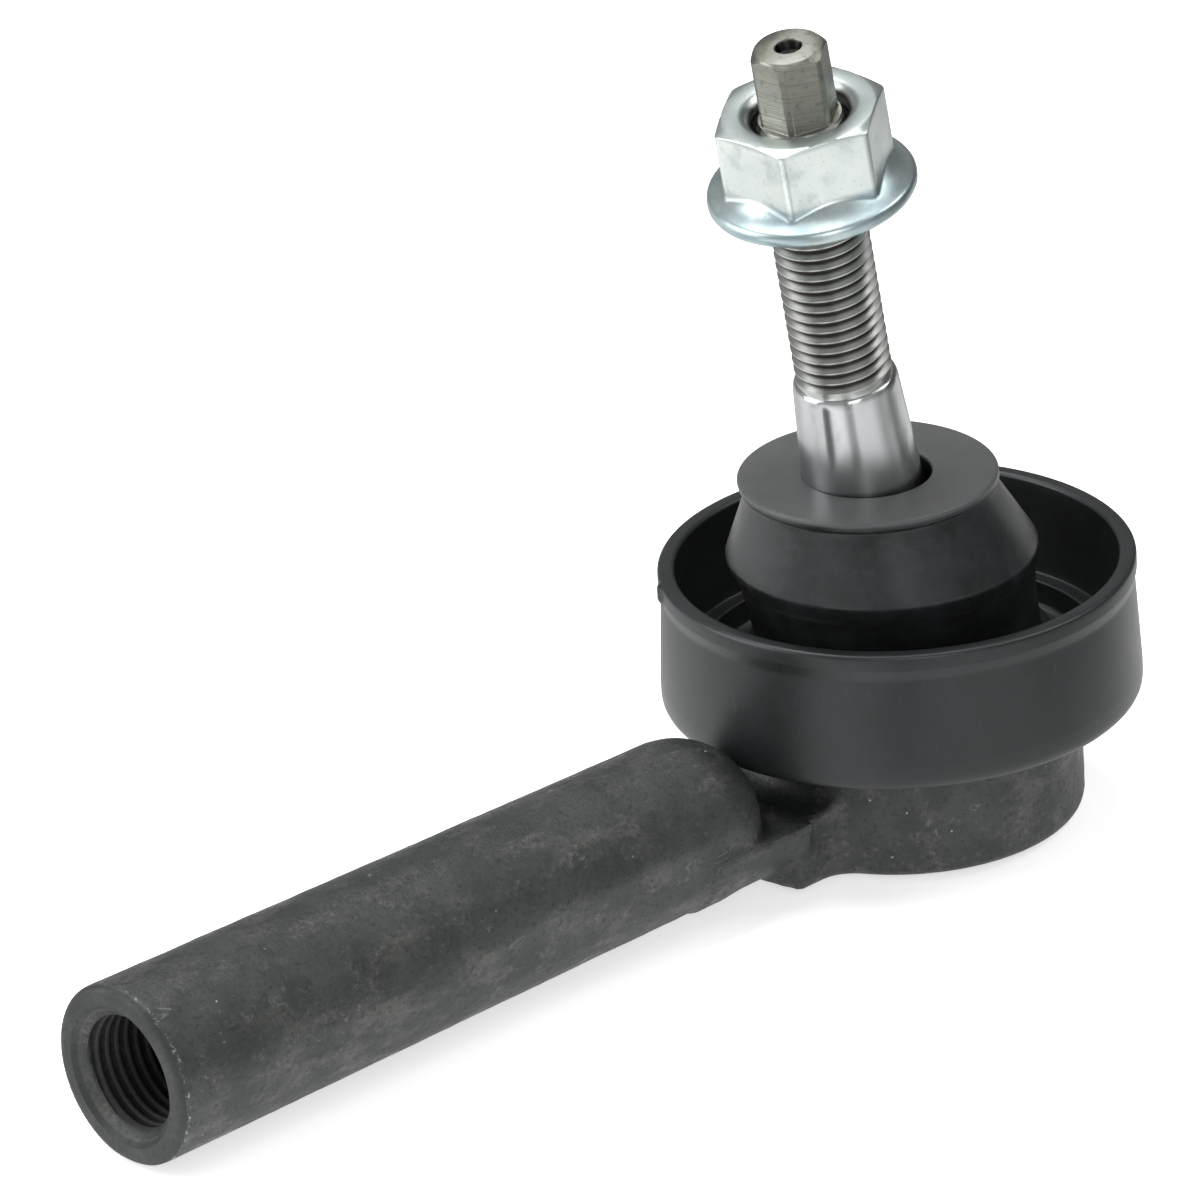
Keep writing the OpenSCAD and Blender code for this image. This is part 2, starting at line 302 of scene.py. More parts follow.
def join_rows(name, stretches, place=None, closed=False):
    """One piece from stretches of rows, each given with its shear in rows."""
    points, faces = [], []
    for rows, shift in stretches:
        first = sum(len(p) for p in points)
        faces += [
            tuple(first + k for k in face)
            for face in ring_faces(len(rows), len(rows[0]), closed, shift)
        ]
        polar = np.concatenate(rows)
        points.append(np.stack([
            polar[:, 0] * np.cos(polar[:, 1]), polar[:, 0] * np.sin(polar[:, 1]), polar[:, 2]
        ], 1))
    return weld(make_piece(name, np.concatenate(points), faces, place))


print("thread root is", ROOT_END - ROOT_START, "of a pitch wide")

# %% [markdown]
# ## The forged housing as a distance field
# The head, the web and the arm were squeezed between two dies from one hot bar, so every
# inside corner is a generous blend. Fillets between three shapes are awkward for an edge
# bevel. A distance field makes them easy: each simple shape is a function that gives the
# distance to its surface, and a soft minimum of two such functions blends them together.

# %% Distance field helpers
def soft_min(a, b, reach):
    """Union of two distances with a fillet about as wide as reach."""
    gap = np.maximum(reach - np.abs(a - b), 0) / reach
    return np.minimum(a, b) - gap * gap * reach / 4


def corner(a, b, radius):
    """Intersection of two distances with its edge rounded to a radius."""
    a, b = a + radius, b + radius
    outside = np.hypot(np.maximum(a, 0), np.maximum(b, 0))
    return np.minimum(np.maximum(a, b), 0) + outside - radius


def band(value, low, high):
    """Distance outside the interval from low to high."""
    return np.abs(value - (low + high) / 2) - (high - low) / 2


def fade(value, start, end):
    """0 before start, 1 after end, and smooth between them."""
    t = np.clip((value - start) / (end - start), 0, 1)
    return t * t * (3 - 2 * t)


# %% [markdown]
# ### Head of the housing
# The head is a thick round pot. Its underside carries a thin lip that was rolled inwards over
# the cover plate after assembly, and its neck has a groove and a seat for the boot's bead.

# %% Head
HEAD_R = 22.3
HEAD_BASE_Z = -11.3
SHOULDER_Z = cup_low.z
NECK_R = 17
NECK_TOP_Z = housing_high.z
GROOVE_LOW_Z, GROOVE_TOP_Z, GROOVE_DEPTH = 8.4, 10.4, 0.7
LIP_MIDDLE_R, LIP_HALF, LIP_TOP_Z = 16, 1.2, -10
SOCKET_R, SOCKET_CONE_Z, SOCKET_TOP_Z = 15.5, 2.5, 7
RECESS_R, RECESS_LOW_Z, RECESS_TOP_Z = 16.5, -10.9, -9
MOUTH_R, MOUTH_SLOPE = 11.6, 0.4
CONE_SLOPE = 2.9 / 4.5


def head_solid(radius, z):
    """The pot with its neck, without its lip and its inside."""
    pot = corner(radius - HEAD_R, band(z, HEAD_BASE_Z - 5, SHOULDER_Z), 0.8)
    neck = np.maximum(corner(radius - NECK_R, z - NECK_TOP_Z, 0.6), -z)
    groove = np.maximum(NECK_R - GROOVE_DEPTH - radius, band(z, GROOVE_LOW_Z, GROOVE_TOP_Z))
    return np.minimum(pot, np.maximum(neck, -groove))


def head_lip(radius, z):
    """The ring under the head that was rolled over the cover plate."""
    ring = np.abs(radius - LIP_MIDDLE_R) - LIP_HALF
    return corner(ring, band(z, housing_low.z, LIP_TOP_Z), 0.5)


def head_hollow(radius, z):
    """The socket, the recess for the cover plate and the mouth that the stud leaves by."""
    lip_hole = np.maximum(radius - (LIP_MIDDLE_R - LIP_HALF), band(z, -14, RECESS_LOW_Z + 0.1))
    recess = np.maximum(radius - RECESS_R, band(z, RECESS_LOW_Z, RECESS_TOP_Z))
    barrel = np.maximum(radius - SOCKET_R, band(z, RECESS_TOP_Z - 0.1, SOCKET_CONE_Z))
    cone = radius - SOCKET_R + np.maximum(z - SOCKET_CONE_Z, 0) * CONE_SLOPE
    cone = np.maximum(cone / math.hypot(1, CONE_SLOPE), band(z, 0, SOCKET_TOP_Z))
    mouth = radius - MOUTH_R - (z - SOCKET_TOP_Z) * MOUTH_SLOPE
    mouth = np.maximum(mouth / math.hypot(1, MOUTH_SLOPE), band(z, SOCKET_TOP_Z - 1, NECK_TOP_Z + 4))
    return np.minimum.reduce([lip_hole, recess, barrel, cone, mouth])


print(f"head {2 * HEAD_R:.1f} mm across, neck up to {NECK_TOP_Z:.1f} mm")

# %% [markdown]
# ### Arm and web
# The arm is a round bar that widens slightly towards its open end and stops in a dome beside
# the head. The trimming die left a narrow flat along each side, where the flash was cut off,
# and it fades out along the arm. The lower half of the arm runs on into a flat-topped web.

# %% Arm and web
ARM_END = -housing_low.x
ARM_DOME = 39.4
ARM_ROOT_R, ARM_END_R = 10.6, 11.4
FLAT_TILT = math.radians(6.8)
FLAT_DEPTH = 0.5
FLAT_FADE = (66, 90)
WEB_TOP_Z = -1.4
WEB_HALF = 9.3
WEB_REACH = 29
WEB_INNER_X = 12
RUN_ON_START = 26
END_ROUND = 1.1
BASE_ROUND = 1.7


def arm_solid(x, y, z):
    """The bar with its dome, its rounded end and its two trimmed flats."""
    out = -x
    radius = np.hypot(y, z)
    share = np.clip((out - ARM_DOME) / (ARM_END - ARM_DOME), 0, 1)
    here = ARM_ROOT_R + share * (ARM_END_R - ARM_ROOT_R)
    side = np.where(out < ARM_DOME, np.hypot(radius, out - ARM_DOME), radius) - here
    depth = FLAT_DEPTH * (1 - fade(out, *FLAT_FADE))
    flat = np.abs(y) * math.cos(FLAT_TILT) - z * math.sin(FLAT_TILT) - here + depth
    side = corner(side, flat, 0.15)
    return corner(side, out - ARM_END, END_ROUND)


def web_solid(x, y, z):
    """The bridge between the arm and the head, with the arm's lower half running into it."""
    slab = corner(np.abs(y) - WEB_HALF, np.hypot(x, y) - WEB_REACH, 0.8)
    slab = corner(slab, band(z, HEAD_BASE_Z, WEB_TOP_Z), 0.6)
    slab = np.maximum(slab, x + WEB_INNER_X)
    run_on = np.maximum(np.hypot(y, z) - ARM_ROOT_R, band(-x, RUN_ON_START, ARM_DOME + 2))
    run_on = corner(run_on, z - WEB_TOP_Z, 0.6)
    return soft_min(slab, run_on, 1)


def housing_distance(points):
    """Distance from the surface of the whole forging, negative inside the steel."""
    x, y, z = points.T
    radius = np.hypot(x, y)
    solid = soft_min(arm_solid(x, y, z), web_solid(x, y, z), 1.4)
    solid = soft_min(head_solid(radius, z), np.maximum(solid, x + 10), 3)
    under = HEAD_BASE_Z - z - fade(-x, ARM_DOME - 6, ARM_DOME + 6)
    solid = soft_min(corner(solid, under, BASE_ROUND), head_lip(radius, z), 0.6)
    return np.maximum(solid, -head_hollow(radius, z))


print(f"arm {ARM_END:.1f} mm long")

# %% [markdown]
# ### From the field to a mesh
# A surface net puts one point in each small cube that the surface passes through, and joins
# the points of neighbouring cubes. The points then slide along the field's slope on to the
# surface itself, which brings back crisp faces. It makes even quads, ready for smooth shading.

# %% Surface net
NET_STEP = 0.55
NET_MARGIN = 1.2
NET_SLIDES = 5


def slope(distance, points, step=0.02):
    """Gradient of a distance field at some points."""
    offsets = np.eye(3) * step
    return np.stack([
        (distance(points + d) - distance(points - d)) / (2 * step) for d in offsets
    ], 1)


def net_faces(inside, number):
    """Quads round the grid edges that cross the surface."""
    faces = []
    for axis in range(3):
        u, v = (axis + 1) % 3, (axis + 2) % 3
        here = [slice(1, -1)] * 3
        here[axis] = slice(0, -1)
        there = list(here)
        there[axis] = slice(1, None)
        a, b = inside[tuple(here)], inside[tuple(there)]
        low = np.array(np.nonzero(a != b))
        leaving = a[tuple(low)]
        low[u] += 1
        low[v] += 1
        cells = []
        for du, dv in ((1, 1), (0, 1), (0, 0), (1, 0)):
            cell = low.copy()
            cell[u] -= du
            cell[v] -= dv
            cells.append(number[tuple(cell)])
        quads = np.stack(cells, 1)
        quads[~leaving] = quads[~leaving][:, ::-1]
        faces.append(quads)
    return np.concatenate(faces)


def surface_net(distance, low, high, step):
    """Points and quads of the surface where distance is zero."""
    axes = [np.arange(a, b + step, step) for a, b in zip(low, high)]
    shape = tuple(len(axis) for axis in axes)
    grid = np.stack(np.meshgrid(*axes, indexing="ij"), -1).reshape(-1, 3)
    inside = (distance(grid) < 0).reshape(shape)
    cells = tuple(n - 1 for n in shape)
    count = np.zeros(cells, int)
    for dx in (0, 1):
        for dy in (0, 1):
            for dz in (0, 1):
                part = inside[dx:dx + cells[0], dy:dy + cells[1], dz:dz + cells[2]]
                count += part
    crossed = (count > 0) & (count < 8)
    number = np.full(cells, -1)
    number[crossed] = np.arange(crossed.sum())
    start = (np.argwhere(crossed) + 0.5) * step + np.array(low)
    points = start.copy()
    for _ in range(NET_SLIDES):
        gradient = slope(distance, points)
        size = np.maximum((gradient ** 2).sum(1), 0.25)
        points -= gradient * (distance(points) / size)[:, None]
        points = np.clip(points, start - 0.7 * step, start + 0.7 * step)
    return points, net_faces(inside, number)


# %% [markdown]
# ### Forging skin
# Scale, shot blasting and handling leave a forging slightly lumpy, with small craters. The
# shape itself carries that here, because a bump in a material never changes an outline. The
# machined faces are left alone: the open end of the arm, and the top, the underside and the
# inside of the head.

# %% Forging skin
LUMP_SIZE, LUMP_HEIGHT = 5.5, 0.045
GRAIN_SIZE, GRAIN_HEIGHT = 1.6, 0.035
CRATERS = 90
CRATER_SIZE, CRATER_DEPTH = (0.5, 1.5), (0.05, 0.14)
HEAD_REACH_X = -25


def forging_skin(points, normals):
    """The points with lumps, grain and craters, but flat on the machined faces."""
    x, y, z = points.T
    forged = fade(ARM_END + x, 0.4, 2.5) * fade(np.hypot(x, y), HEAD_R - 1.5, HEAD_R - 0.5)
    on_arm = x < HEAD_REACH_X
    forged *= np.where(on_arm, 1, fade(SHOULDER_Z - z, 0, 0.8))
    forged *= np.where(on_arm, 1, fade(z - HEAD_BASE_Z, 0.1, 1))
    lumps = np.array([noise.noise(Vector(p / LUMP_SIZE)) for p in points])
    grain = np.array([noise.noise(Vector(p / GRAIN_SIZE)) for p in points])
    height = LUMP_HEIGHT * lumps + GRAIN_HEIGHT * grain
    rng = np.random.default_rng(SEED)
    outside = points[(forged > 0.9) & (normals[:, 2] > -0.8)]
    for centre in outside[rng.integers(0, len(outside), CRATERS)]:
        size = rng.uniform(*CRATER_SIZE)
        near = np.linalg.norm(points - centre, axis=1) / size
        height -= rng.uniform(*CRATER_DEPTH) * np.exp(-near ** 2)
    return points + normals * (height * forged)[:, None]


net_low = [housing_low.x - NET_MARGIN, housing_low.y - NET_MARGIN, housing_low.z - NET_MARGIN]
net_high = [housing_high.x + NET_MARGIN, housing_high.y + NET_MARGIN, housing_high.z + NET_MARGIN]
net_points, net_quads = surface_net(housing_distance, net_low, net_high, NET_STEP)
net_normals = slope(housing_distance, net_points)
net_normals /= np.linalg.norm(net_normals, axis=1)[:, None]
skin_points = forging_skin(net_points, net_normals)
housing = make_piece("housing_forging", skin_points, net_quads.tolist())
print("forging:", len(net_points), "points,", len(net_quads), "quads")

# %% [markdown]
# ### Tapping the arm
# The hole is drilled, countersunk and tapped, so the most honest way to make it is to build
# the shape that the drill and the tap sweep out, and to subtract it. The boolean leaves one
# closed body, as on the real part.

# %% Tap the arm
ROD_PITCH = 1.5
ROD_ROOT_R, ROD_CREST_R = 7.19, 8
ROD_THREAD_DEPTH = 56
ROD_THREAD_ENTRY = (1.5, 2.6)
COUNTERSINK_R, COUNTERSINK_SLOPE = 8.95, 1
DRILL_POINT = 4
TAP_OVERRUN = 1
TAP_COLUMNS = 96
INTO_ARM = Matrix(((0, 0, 1), (0, 1, 0), (-1, 0, 0)))


def tap_radius(height, along):
    """Radius that the tap and the countersink clear at a depth, for a thread height."""
    height = height * fade(along, *ROD_THREAD_ENTRY)
    height = height * (1 - fade(along, ROD_THREAD_DEPTH - 2, ROD_THREAD_DEPTH))
    thread = ROD_ROOT_R + (ROD_CREST_R - ROD_ROOT_R) * height
    return np.maximum(thread, COUNTERSINK_R - along / COUNTERSINK_SLOPE)


tap_angle = around(TAP_COLUMNS)
tap_head = [(0, -TAP_OVERRUN), (COUNTERSINK_R, -TAP_OVERRUN), (COUNTERSINK_R, 0)]
tap_tip = [(ROD_ROOT_R, ROD_THREAD_DEPTH), (0, ROD_THREAD_DEPTH + DRILL_POINT)]
tap = join_rows("tap", [
    (plain_rows(tap_angle, tap_head), 0),
    (thread_rows(tap_angle, 0, ROD_THREAD_DEPTH, ROD_PITCH, tap_radius), len(THREAD_MARKS)),
    (plain_rows(tap_angle, tap_tip), 0),
], INTO_ARM)
tap.data.transform(Matrix.Translation((-ARM_END * MM, 0, 0)))


def subtract(body, cutter):
    """Cuts one closed mesh out of another and removes the cutter."""
    cut = body.modifiers.new("cut", "BOOLEAN")
    cut.operation = "DIFFERENCE"
    cut.solver = "MANIFOLD"
    cut.object = cutter
    bpy.context.view_layer.update()
    result = bpy.data.meshes.new_from_object(body.evaluated_get(bpy.context.evaluated_depsgraph_get()))
    body.modifiers.clear()
    body.data = result
    bpy.data.objects.remove(cutter)


weld(housing, reach=0.0005)
before_cut = len(housing.data.polygons)
subtract(housing, tap)
weld(housing, crease=38, reach=0.0005)
print("faces before and after tapping:", before_cut, len(housing.data.polygons))

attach(housing, "root")
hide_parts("housing")

# %% [markdown]
# ## Ball stud
# The stud is turned from bar: a ball, a waist, a ground taper that wedges into the steering
# arm, a rolled thread, and a small hexagon that holds the stud still while its nut is turned.
# It is one body, so it is one mesh: plain rings, then sheared rings for the thread, then
# rings that are hexagons. They share their angles, so that each ring meets the next.

# %% Ball stud
BALL_R, BALL_ROWS = 10, 28
STUD_NECK_R, STUD_NECK_TOP = 5.2, 16.5
TAPER_START, TAPER_END = 28, 51
TAPER_START_R, TAPER_END_R = 8.02, 6.58
STUD_R, STUD_PITCH, STUD_THREAD_DEPTH = 6, 1.5, 0.92
SHOULDER_H, SHOULDER_DROP = 0.9, 0.5
SHOULDER_STEPS = 10
THREAD_START = TAPER_END + SHOULDER_H
STUD_THREAD_END = 89.3
THREAD_CHAMFER = 0.9
HEX_TURN = 33.4
TIP_FLATS, TIP_CORNER_R = 8.7, 4.8
TIP_HOLE_R, TIP_HOLE_DEPTH = 1.7, 2.4
STUD_COLUMNS = 216
STUD_ROW = 0.7
stud_angle = around(STUD_COLUMNS, HEX_TURN)


def hexagon(angle, flats, corner_r):
    """Radius of a hexagon whose corners were turned down to a radius."""
    from_flat = (angle - math.radians(HEX_TURN)) % (math.pi / 3) - math.pi / 6
    return np.minimum(flats / 2 / np.cos(from_flat), corner_r)


def stud_thread_radius(height, along):
    """Radius of the rolled thread, which fades out at the shoulder and is chamfered at its end."""
    depth = STUD_THREAD_DEPTH * fade(along, THREAD_START, THREAD_START + 1.6)
    depth = depth * (1 - fade(along, STUD_THREAD_END - 0.3, STUD_THREAD_END))
    chamfer = STUD_R - THREAD_CHAMFER + (STUD_THREAD_END - along)
    return np.minimum(STUD_R - depth * (1 - height), chamfer)


def ball_outline():
    """The ball from its flat bottom to where the neck leaves it."""
    low = math.asin(ball_bottom / BALL_R)
    high = math.acos(STUD_NECK_R / BALL_R)
    angles = np.linspace(low, high, BALL_ROWS)
    return [(BALL_R * math.cos(a), BALL_R * math.sin(a)) for a in angles]


shank = rounded([
    (STUD_NECK_R, BALL_R * math.sin(math.acos(STUD_NECK_R / BALL_R)), 0),
    (STUD_NECK_R, STUD_NECK_TOP, 3), (TAPER_START_R, TAPER_START - 1.5, 0.8),
    (TAPER_START_R, TAPER_START, 0.8), (TAPER_END_R, TAPER_END - SHOULDER_DROP, 0),
])
for k in range(1, SHOULDER_STEPS + 1):
    swing = math.pi / 2 * k / SHOULDER_STEPS
    out = (TAPER_END_R - STUD_R) * math.cos(swing)
    climb = (SHOULDER_H + SHOULDER_DROP) * math.sin(swing)
    shank.append(Vector((STUD_R + out, TAPER_END - SHOULDER_DROP + climb)))
tip_flat = hexagon(stud_angle, TIP_FLATS, TIP_CORNER_R)
tip_face = TIP_FLATS / 2 - 0.25
tip_chamfer = tip_end - (tip_flat - tip_face)
tip_rows = [
    # end of the thread, and the foot of the hexagon
    (STUD_R - THREAD_CHAMFER, STUD_THREAD_END), (tip_flat + 0.1, STUD_THREAD_END),
    (tip_flat, STUD_THREAD_END + 0.15), (tip_flat, (STUD_THREAD_END + tip_end) / 2),
    # corners of the hexagon, cut back by a cone up to its flat end
    (tip_flat, tip_chamfer - 0.05), (tip_flat - 0.05, tip_chamfer),
    (tip_face + 0.05, tip_end - 0.05), (tip_face - 0.05, tip_end),
    # centre hole
    (TIP_HOLE_R + 0.1, tip_end), (TIP_HOLE_R, tip_end - 0.1), (TIP_HOLE_R - 0.15, tip_end - 1.4),
    (0.5, tip_end - TIP_HOLE_DEPTH), (0, tip_end - TIP_HOLE_DEPTH - 0.2),
]
stud = join_rows("stud_steel_body", [
    (plain_rows(stud_angle, [(0, ball_bottom), *ball_outline(), *finer(shank, STUD_ROW)]), 0),
    (
        thread_rows(
            stud_angle, THREAD_START, STUD_THREAD_END, STUD_PITCH, stud_thread_radius
        ),
        len(THREAD_MARKS),
    ),
    (plain_rows(stud_angle, tip_rows), 0),
], STUD_FRAME)
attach(stud, "stud")
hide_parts("ball_stud")
print("stud:", len(stud.data.vertices), "points")

# %% [markdown]
# ## Flange nut
# The nut is cold formed: a hexagon grows out of a domed flange through a soft fillet. A cone
# turned on its top cuts the corners back, which leaves a small arc on each flat. Both shapes
# come from one rule: the radius of the hexagon changes round the ring, and so do the heights
# at which the cone above and the flange below meet it.

# %% Flange nut
NUT_H = nut_top - nut_seat
NUT_FLATS, NUT_CORNER_R = 19, 10.8
FLANGE_R = 12.9
FLANGE_EDGE_Z = 1.7
FLANGE_RISE = 2.3
NUT_BORE_R = 6.07
NUT_FILLET = 0.45
FILLET_BENDS = np.radians([18, 36, 54, 72, 90])
FLANGE_ROWS = 9
TOP_FACE_R = 9.35
NUT_CHAMFER_SLOPE = 0.36


def flange_height(radius):
    """Height of the flange's top face, which is domed at its edge and rises to the hexagon."""
    inward = np.clip((FLANGE_R - 0.25 - radius) / (FLANGE_R - 0.25 - NUT_FLATS / 2), 0, 1)
    return FLANGE_EDGE_Z + FLANGE_RISE * (0.6 * inward + 0.4 * inward ** 3)


nut_flat = hexagon(stud_angle, NUT_FLATS, NUT_CORNER_R)
nut_shoulder = NUT_H - (nut_flat - TOP_FACE_R) * NUT_CHAMFER_SLOPE
# countersink and seat
nut_rows = [(NUT_BORE_R, 0.9), (NUT_BORE_R + 0.7, 0.1), (NUT_BORE_R + 0.9, 0)]
# rounded edge of the flange
nut_rows += [(FLANGE_R - 0.7, 0), (FLANGE_R - 0.25, 0.12), (FLANGE_R - 0.03, 0.5)]
nut_rows += [(FLANGE_R, 0.9), (FLANGE_R - 0.05, 1.25), (FLANGE_R - 0.2, 1.58)]
# top of the flange, from a circle to a hexagon, and the fillet at the hexagon's foot
for share in np.linspace(0, 1, FLANGE_ROWS):
    ring = (1 - share) * (FLANGE_R - 0.35) + share * (nut_flat + NUT_FILLET)
    nut_rows.append((ring, flange_height(ring)))
foot = flange_height(nut_flat + NUT_FILLET)
for bend_angle in FILLET_BENDS:
    reach_in = NUT_FILLET * math.sin(bend_angle)
    climb = NUT_FILLET * (1.4 - 1.4 * math.cos(bend_angle)) + 0.5 * reach_in
    nut_rows.append((nut_flat + NUT_FILLET - reach_in, foot + climb))
# flats, cut back at their corners, then the top face and the countersink in it
nut_rows += [(nut_flat, nut_shoulder - 0.12), (nut_flat - 0.04, nut_shoulder - 0.02)]
nut_rows += [(nut_flat - 0.14, nut_shoulder + 0.07), (TOP_FACE_R + 0.05, NUT_H - 0.03)]
nut_rows += [(TOP_FACE_R - 0.15, NUT_H), (7.5, NUT_H), (7.2, NUT_H - 0.06), (6.9, NUT_H - 0.22)]
nut_rows += [(6.55, NUT_H - 0.55), (NUT_BORE_R, NUT_H - 1.1)]
lifted = [(radius, height + nut_seat) for radius, height in nut_rows]
nut = join_rows("flange_nut_zinc", [(plain_rows(stud_angle, lifted), 0)], STUD_FRAME, closed=True)
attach(nut, "nut")
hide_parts("flange_nut")
print(f"nut {NUT_H:.1f} mm high")

# %% [markdown]
# ## Shield cup
# The cup stands round the boot and keeps the brake's heat and flying stones away from it. It
# is a moulded plastic shell: a rounded heel, a wall that draws in slightly, a thicker
# band at the rim, and a step inside. A small nib on the rim shows how it was turned.

# %% Shield cup
CUP_R = cup_high.x
CUP_WAIST_R = CUP_R - 0.6
CUP_RIM_R = CUP_R - 0.3
CUP_WALL = 2.2
CUP_FLOOR_TOP = cup_low.z + 2.6
CUP_LEDGE_Z, CUP_LEDGE_R = 9.8, 24.9
NIB_ANGLE = math.radians(147)
NIB_REACH, NIB_HALF_WIDTH = 0.45, math.radians(1.6)
CUP_ROW, CUP_COLUMNS = 1.2, 288


def rim_nib(points):
    """Pushes the rim out a little at one place."""
    angle = np.arctan2(points[:, 1], points[:, 0])
    away = np.abs((angle - NIB_ANGLE + np.pi) % (2 * np.pi) - np.pi)
    outside = np.hypot(points[:, 0], points[:, 1]) > CUP_RIM_R - 0.8
    push = NIB_REACH * (1 - fade(away, 0.5 * NIB_HALF_WIDTH, NIB_HALF_WIDTH))
    push *= fade(points[:, 2], cup_high.z - 3.2, cup_high.z - 2) * outside
    return points + np.stack([np.cos(angle), np.sin(angle), 0 * angle], 1) * push[:, None]


cup_outline = rounded([
    (NECK_R, cup_low.z, 0.2), (CUP_R, cup_low.z, 2.2), (CUP_R, cup_low.z + 3.4, 2),
    (CUP_WAIST_R, cup_high.z - 3.4, 2.5), (CUP_RIM_R, cup_high.z - 2, 1.5),
    (CUP_RIM_R, cup_high.z, 0.55), (CUP_RIM_R - CUP_WALL, cup_high.z, 0.55),
    (CUP_R - CUP_WALL - 0.4, CUP_LEDGE_Z, 0.3), (CUP_LEDGE_R + 0.8, CUP_LEDGE_Z, 0.15),
    (CUP_LEDGE_R + 0.8, CUP_LEDGE_Z + 0.4, 0.18), (CUP_LEDGE_R, CUP_LEDGE_Z + 0.4, 0.18),
    (CUP_LEDGE_R, CUP_FLOOR_TOP, 1), (NECK_R, CUP_FLOOR_TOP, 0.2),
], closed=True)
cup = revolve(
    "shield_cup_shell", finer(cup_outline, CUP_ROW, closed=True), CUP_COLUMNS, bend=rim_nib
)
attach(cup, "root")
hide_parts("shield_cup")
print(f"cup {2 * CUP_R:.1f} mm across and {cup_high.z - cup_low.z:.1f} mm deep")

# %% [markdown]
# ## Dust boot
# The boot is soft rubber: a flat sealing disc, a cone, one fold, and a bead that a wire ring
# holds on the neck. It is drawn leaning with the stud, so each ring's centre is shifted by its
# height. The ball joint is two hinges in a row, and the boot is made as two pieces that meet
# where the fold tucks in.

# %% Dust boot
crown_low, crown_high = box_mm("boot_insert")
BOOT_SHIFT = (crown_low + crown_high) / 2
BOOT_TOP_Z = boot_high.z
BEAD_TOP_Z = NECK_TOP_Z - 0.5
BEAD_BOTTOM_Z = boot_low.z
FOLD_JOIN_Z = 22.6
CROWN_Z = 33.4
DISC_R, FOLD_R, BEAD_R = 16.2, 19.5, 19.4
HOLE_R = 7.95
JOIN_OUTER_R, JOIN_INNER_R = 18.6, 17.3
CLIP_Z = 9.4
BOOT_ROW, BOOT_COLUMNS = 1, 180


def lean_boot(points):
    """Shifts each ring sideways by its height above the bead."""
    share = np.maximum(0, points[:, 2] - BEAD_TOP_Z) / (BOOT_TOP_Z - BEAD_TOP_Z)
    points = points.copy()
    points[:, 0] += BOOT_SHIFT.x * share
    points[:, 1] += BOOT_SHIFT.y * share
    return points


boot_upper_outline = rounded([
    (HOLE_R, BOOT_TOP_Z, 0.35), (DISC_R, BOOT_TOP_Z, 0.45), (DISC_R - 0.1, BOOT_TOP_Z - 1.3, 0.3),
    (DISC_R - 0.95, BOOT_TOP_Z - 1.75, 0.3), (FOLD_R, 25.4, 1.5), (FOLD_R - 0.5, 23.5, 1),
    (JOIN_OUTER_R, FOLD_JOIN_Z, 0), (JOIN_INNER_R, FOLD_JOIN_Z, 0), (17.9, 25, 1), (13.4, CROWN_Z, 1),
    (HOLE_R, CROWN_Z, 0.3),
], closed=True)
boot_lower_outline = rounded([
    (JOIN_OUTER_R, FOLD_JOIN_Z, 0), (18.1, 19, 2), (17.9, 15, 2), (17.9, BEAD_TOP_Z + 1, 0.6),
    (BEAD_R, BEAD_TOP_Z, 0.6), (BEAD_R, CLIP_Z + 0.95, 0.3), (BEAD_R - 0.7, CLIP_Z + 0.6, 0.4),
    (BEAD_R - 0.7, CLIP_Z - 0.6, 0.4), (BEAD_R, CLIP_Z - 0.95, 0.3), (BEAD_R, BEAD_BOTTOM_Z, 0.6),
    (NECK_R + 0.1, BEAD_BOTTOM_Z, 0.3), (NECK_R + 0.1, NECK_TOP_Z + 0.3, 0.5), (15.9, 13.2, 1),
    (16.6, 17, 2), (JOIN_INNER_R, FOLD_JOIN_Z, 0),
], closed=True)
boot_upper_rows = finer(boot_upper_outline, BOOT_ROW, closed=True)
boot_lower_rows = finer(boot_lower_outline, BOOT_ROW, closed=True)
boot_upper = revolve("boot_cone", boot_upper_rows, BOOT_COLUMNS, bend=lean_boot)
boot_lower = revolve("boot_bellows", boot_lower_rows, BOOT_COLUMNS, bend=lean_boot)
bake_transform(boot_upper)
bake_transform(boot_lower)
for part in (boot_upper, boot_lower):
    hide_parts("dust_boot")
print("boot leans by", [round(x, 1) for x in BOOT_SHIFT.xy], "mm at its disc")

# %% [markdown]
# ## Boot clip and cover plate
# The clip is two turns of spring wire that snap into the bead's groove: a round section swept
# along a helix, with its ends drawn to a point. The cover plate is a pressing with a shallow
# dish, so it needs a turned outline with soft bends.

# %% Boot clip
CLIP_R = BEAD_R + 0.05
CLIP_WIRE_R = 0.46
CLIP_TURNS = 2.15
CLIP_STEPS = 240
CLIP_TAPER = 60  # one over the share of the wire that each pointed end takes
CLIP_SQUEEZE = 0.98  # the turns lie a little closer than the wire is thick
WIRE_SIDES = 12


def wire_coil(name):
    """A wire that runs round the bead a little more than twice."""
    points = []
    for k in range(CLIP_STEPS + 1):
        share = k / CLIP_STEPS
        angle = share * CLIP_TURNS * 2 * math.pi
        taper = math.sqrt(min(1, share * CLIP_TAPER, (1 - share) * CLIP_TAPER))
        height = CLIP_Z + (share - 0.5) * CLIP_TURNS * 2 * CLIP_WIRE_R * CLIP_SQUEEZE
        for side in around(WIRE_SIDES):
            radius = CLIP_R + CLIP_WIRE_R * taper * math.cos(side)
            points.append((
                radius * math.cos(angle), radius * math.sin(angle),
                height + CLIP_WIRE_R * taper * math.sin(side),
            ))
    return weld(make_piece(name, points, ring_faces(CLIP_STEPS + 1, WIRE_SIDES)), crease=60)


clip = wire_coil("boot_clip_wire")
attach(clip, "root")
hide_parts("boot_clip")
print("clip has", CLIP_TURNS, "turns")

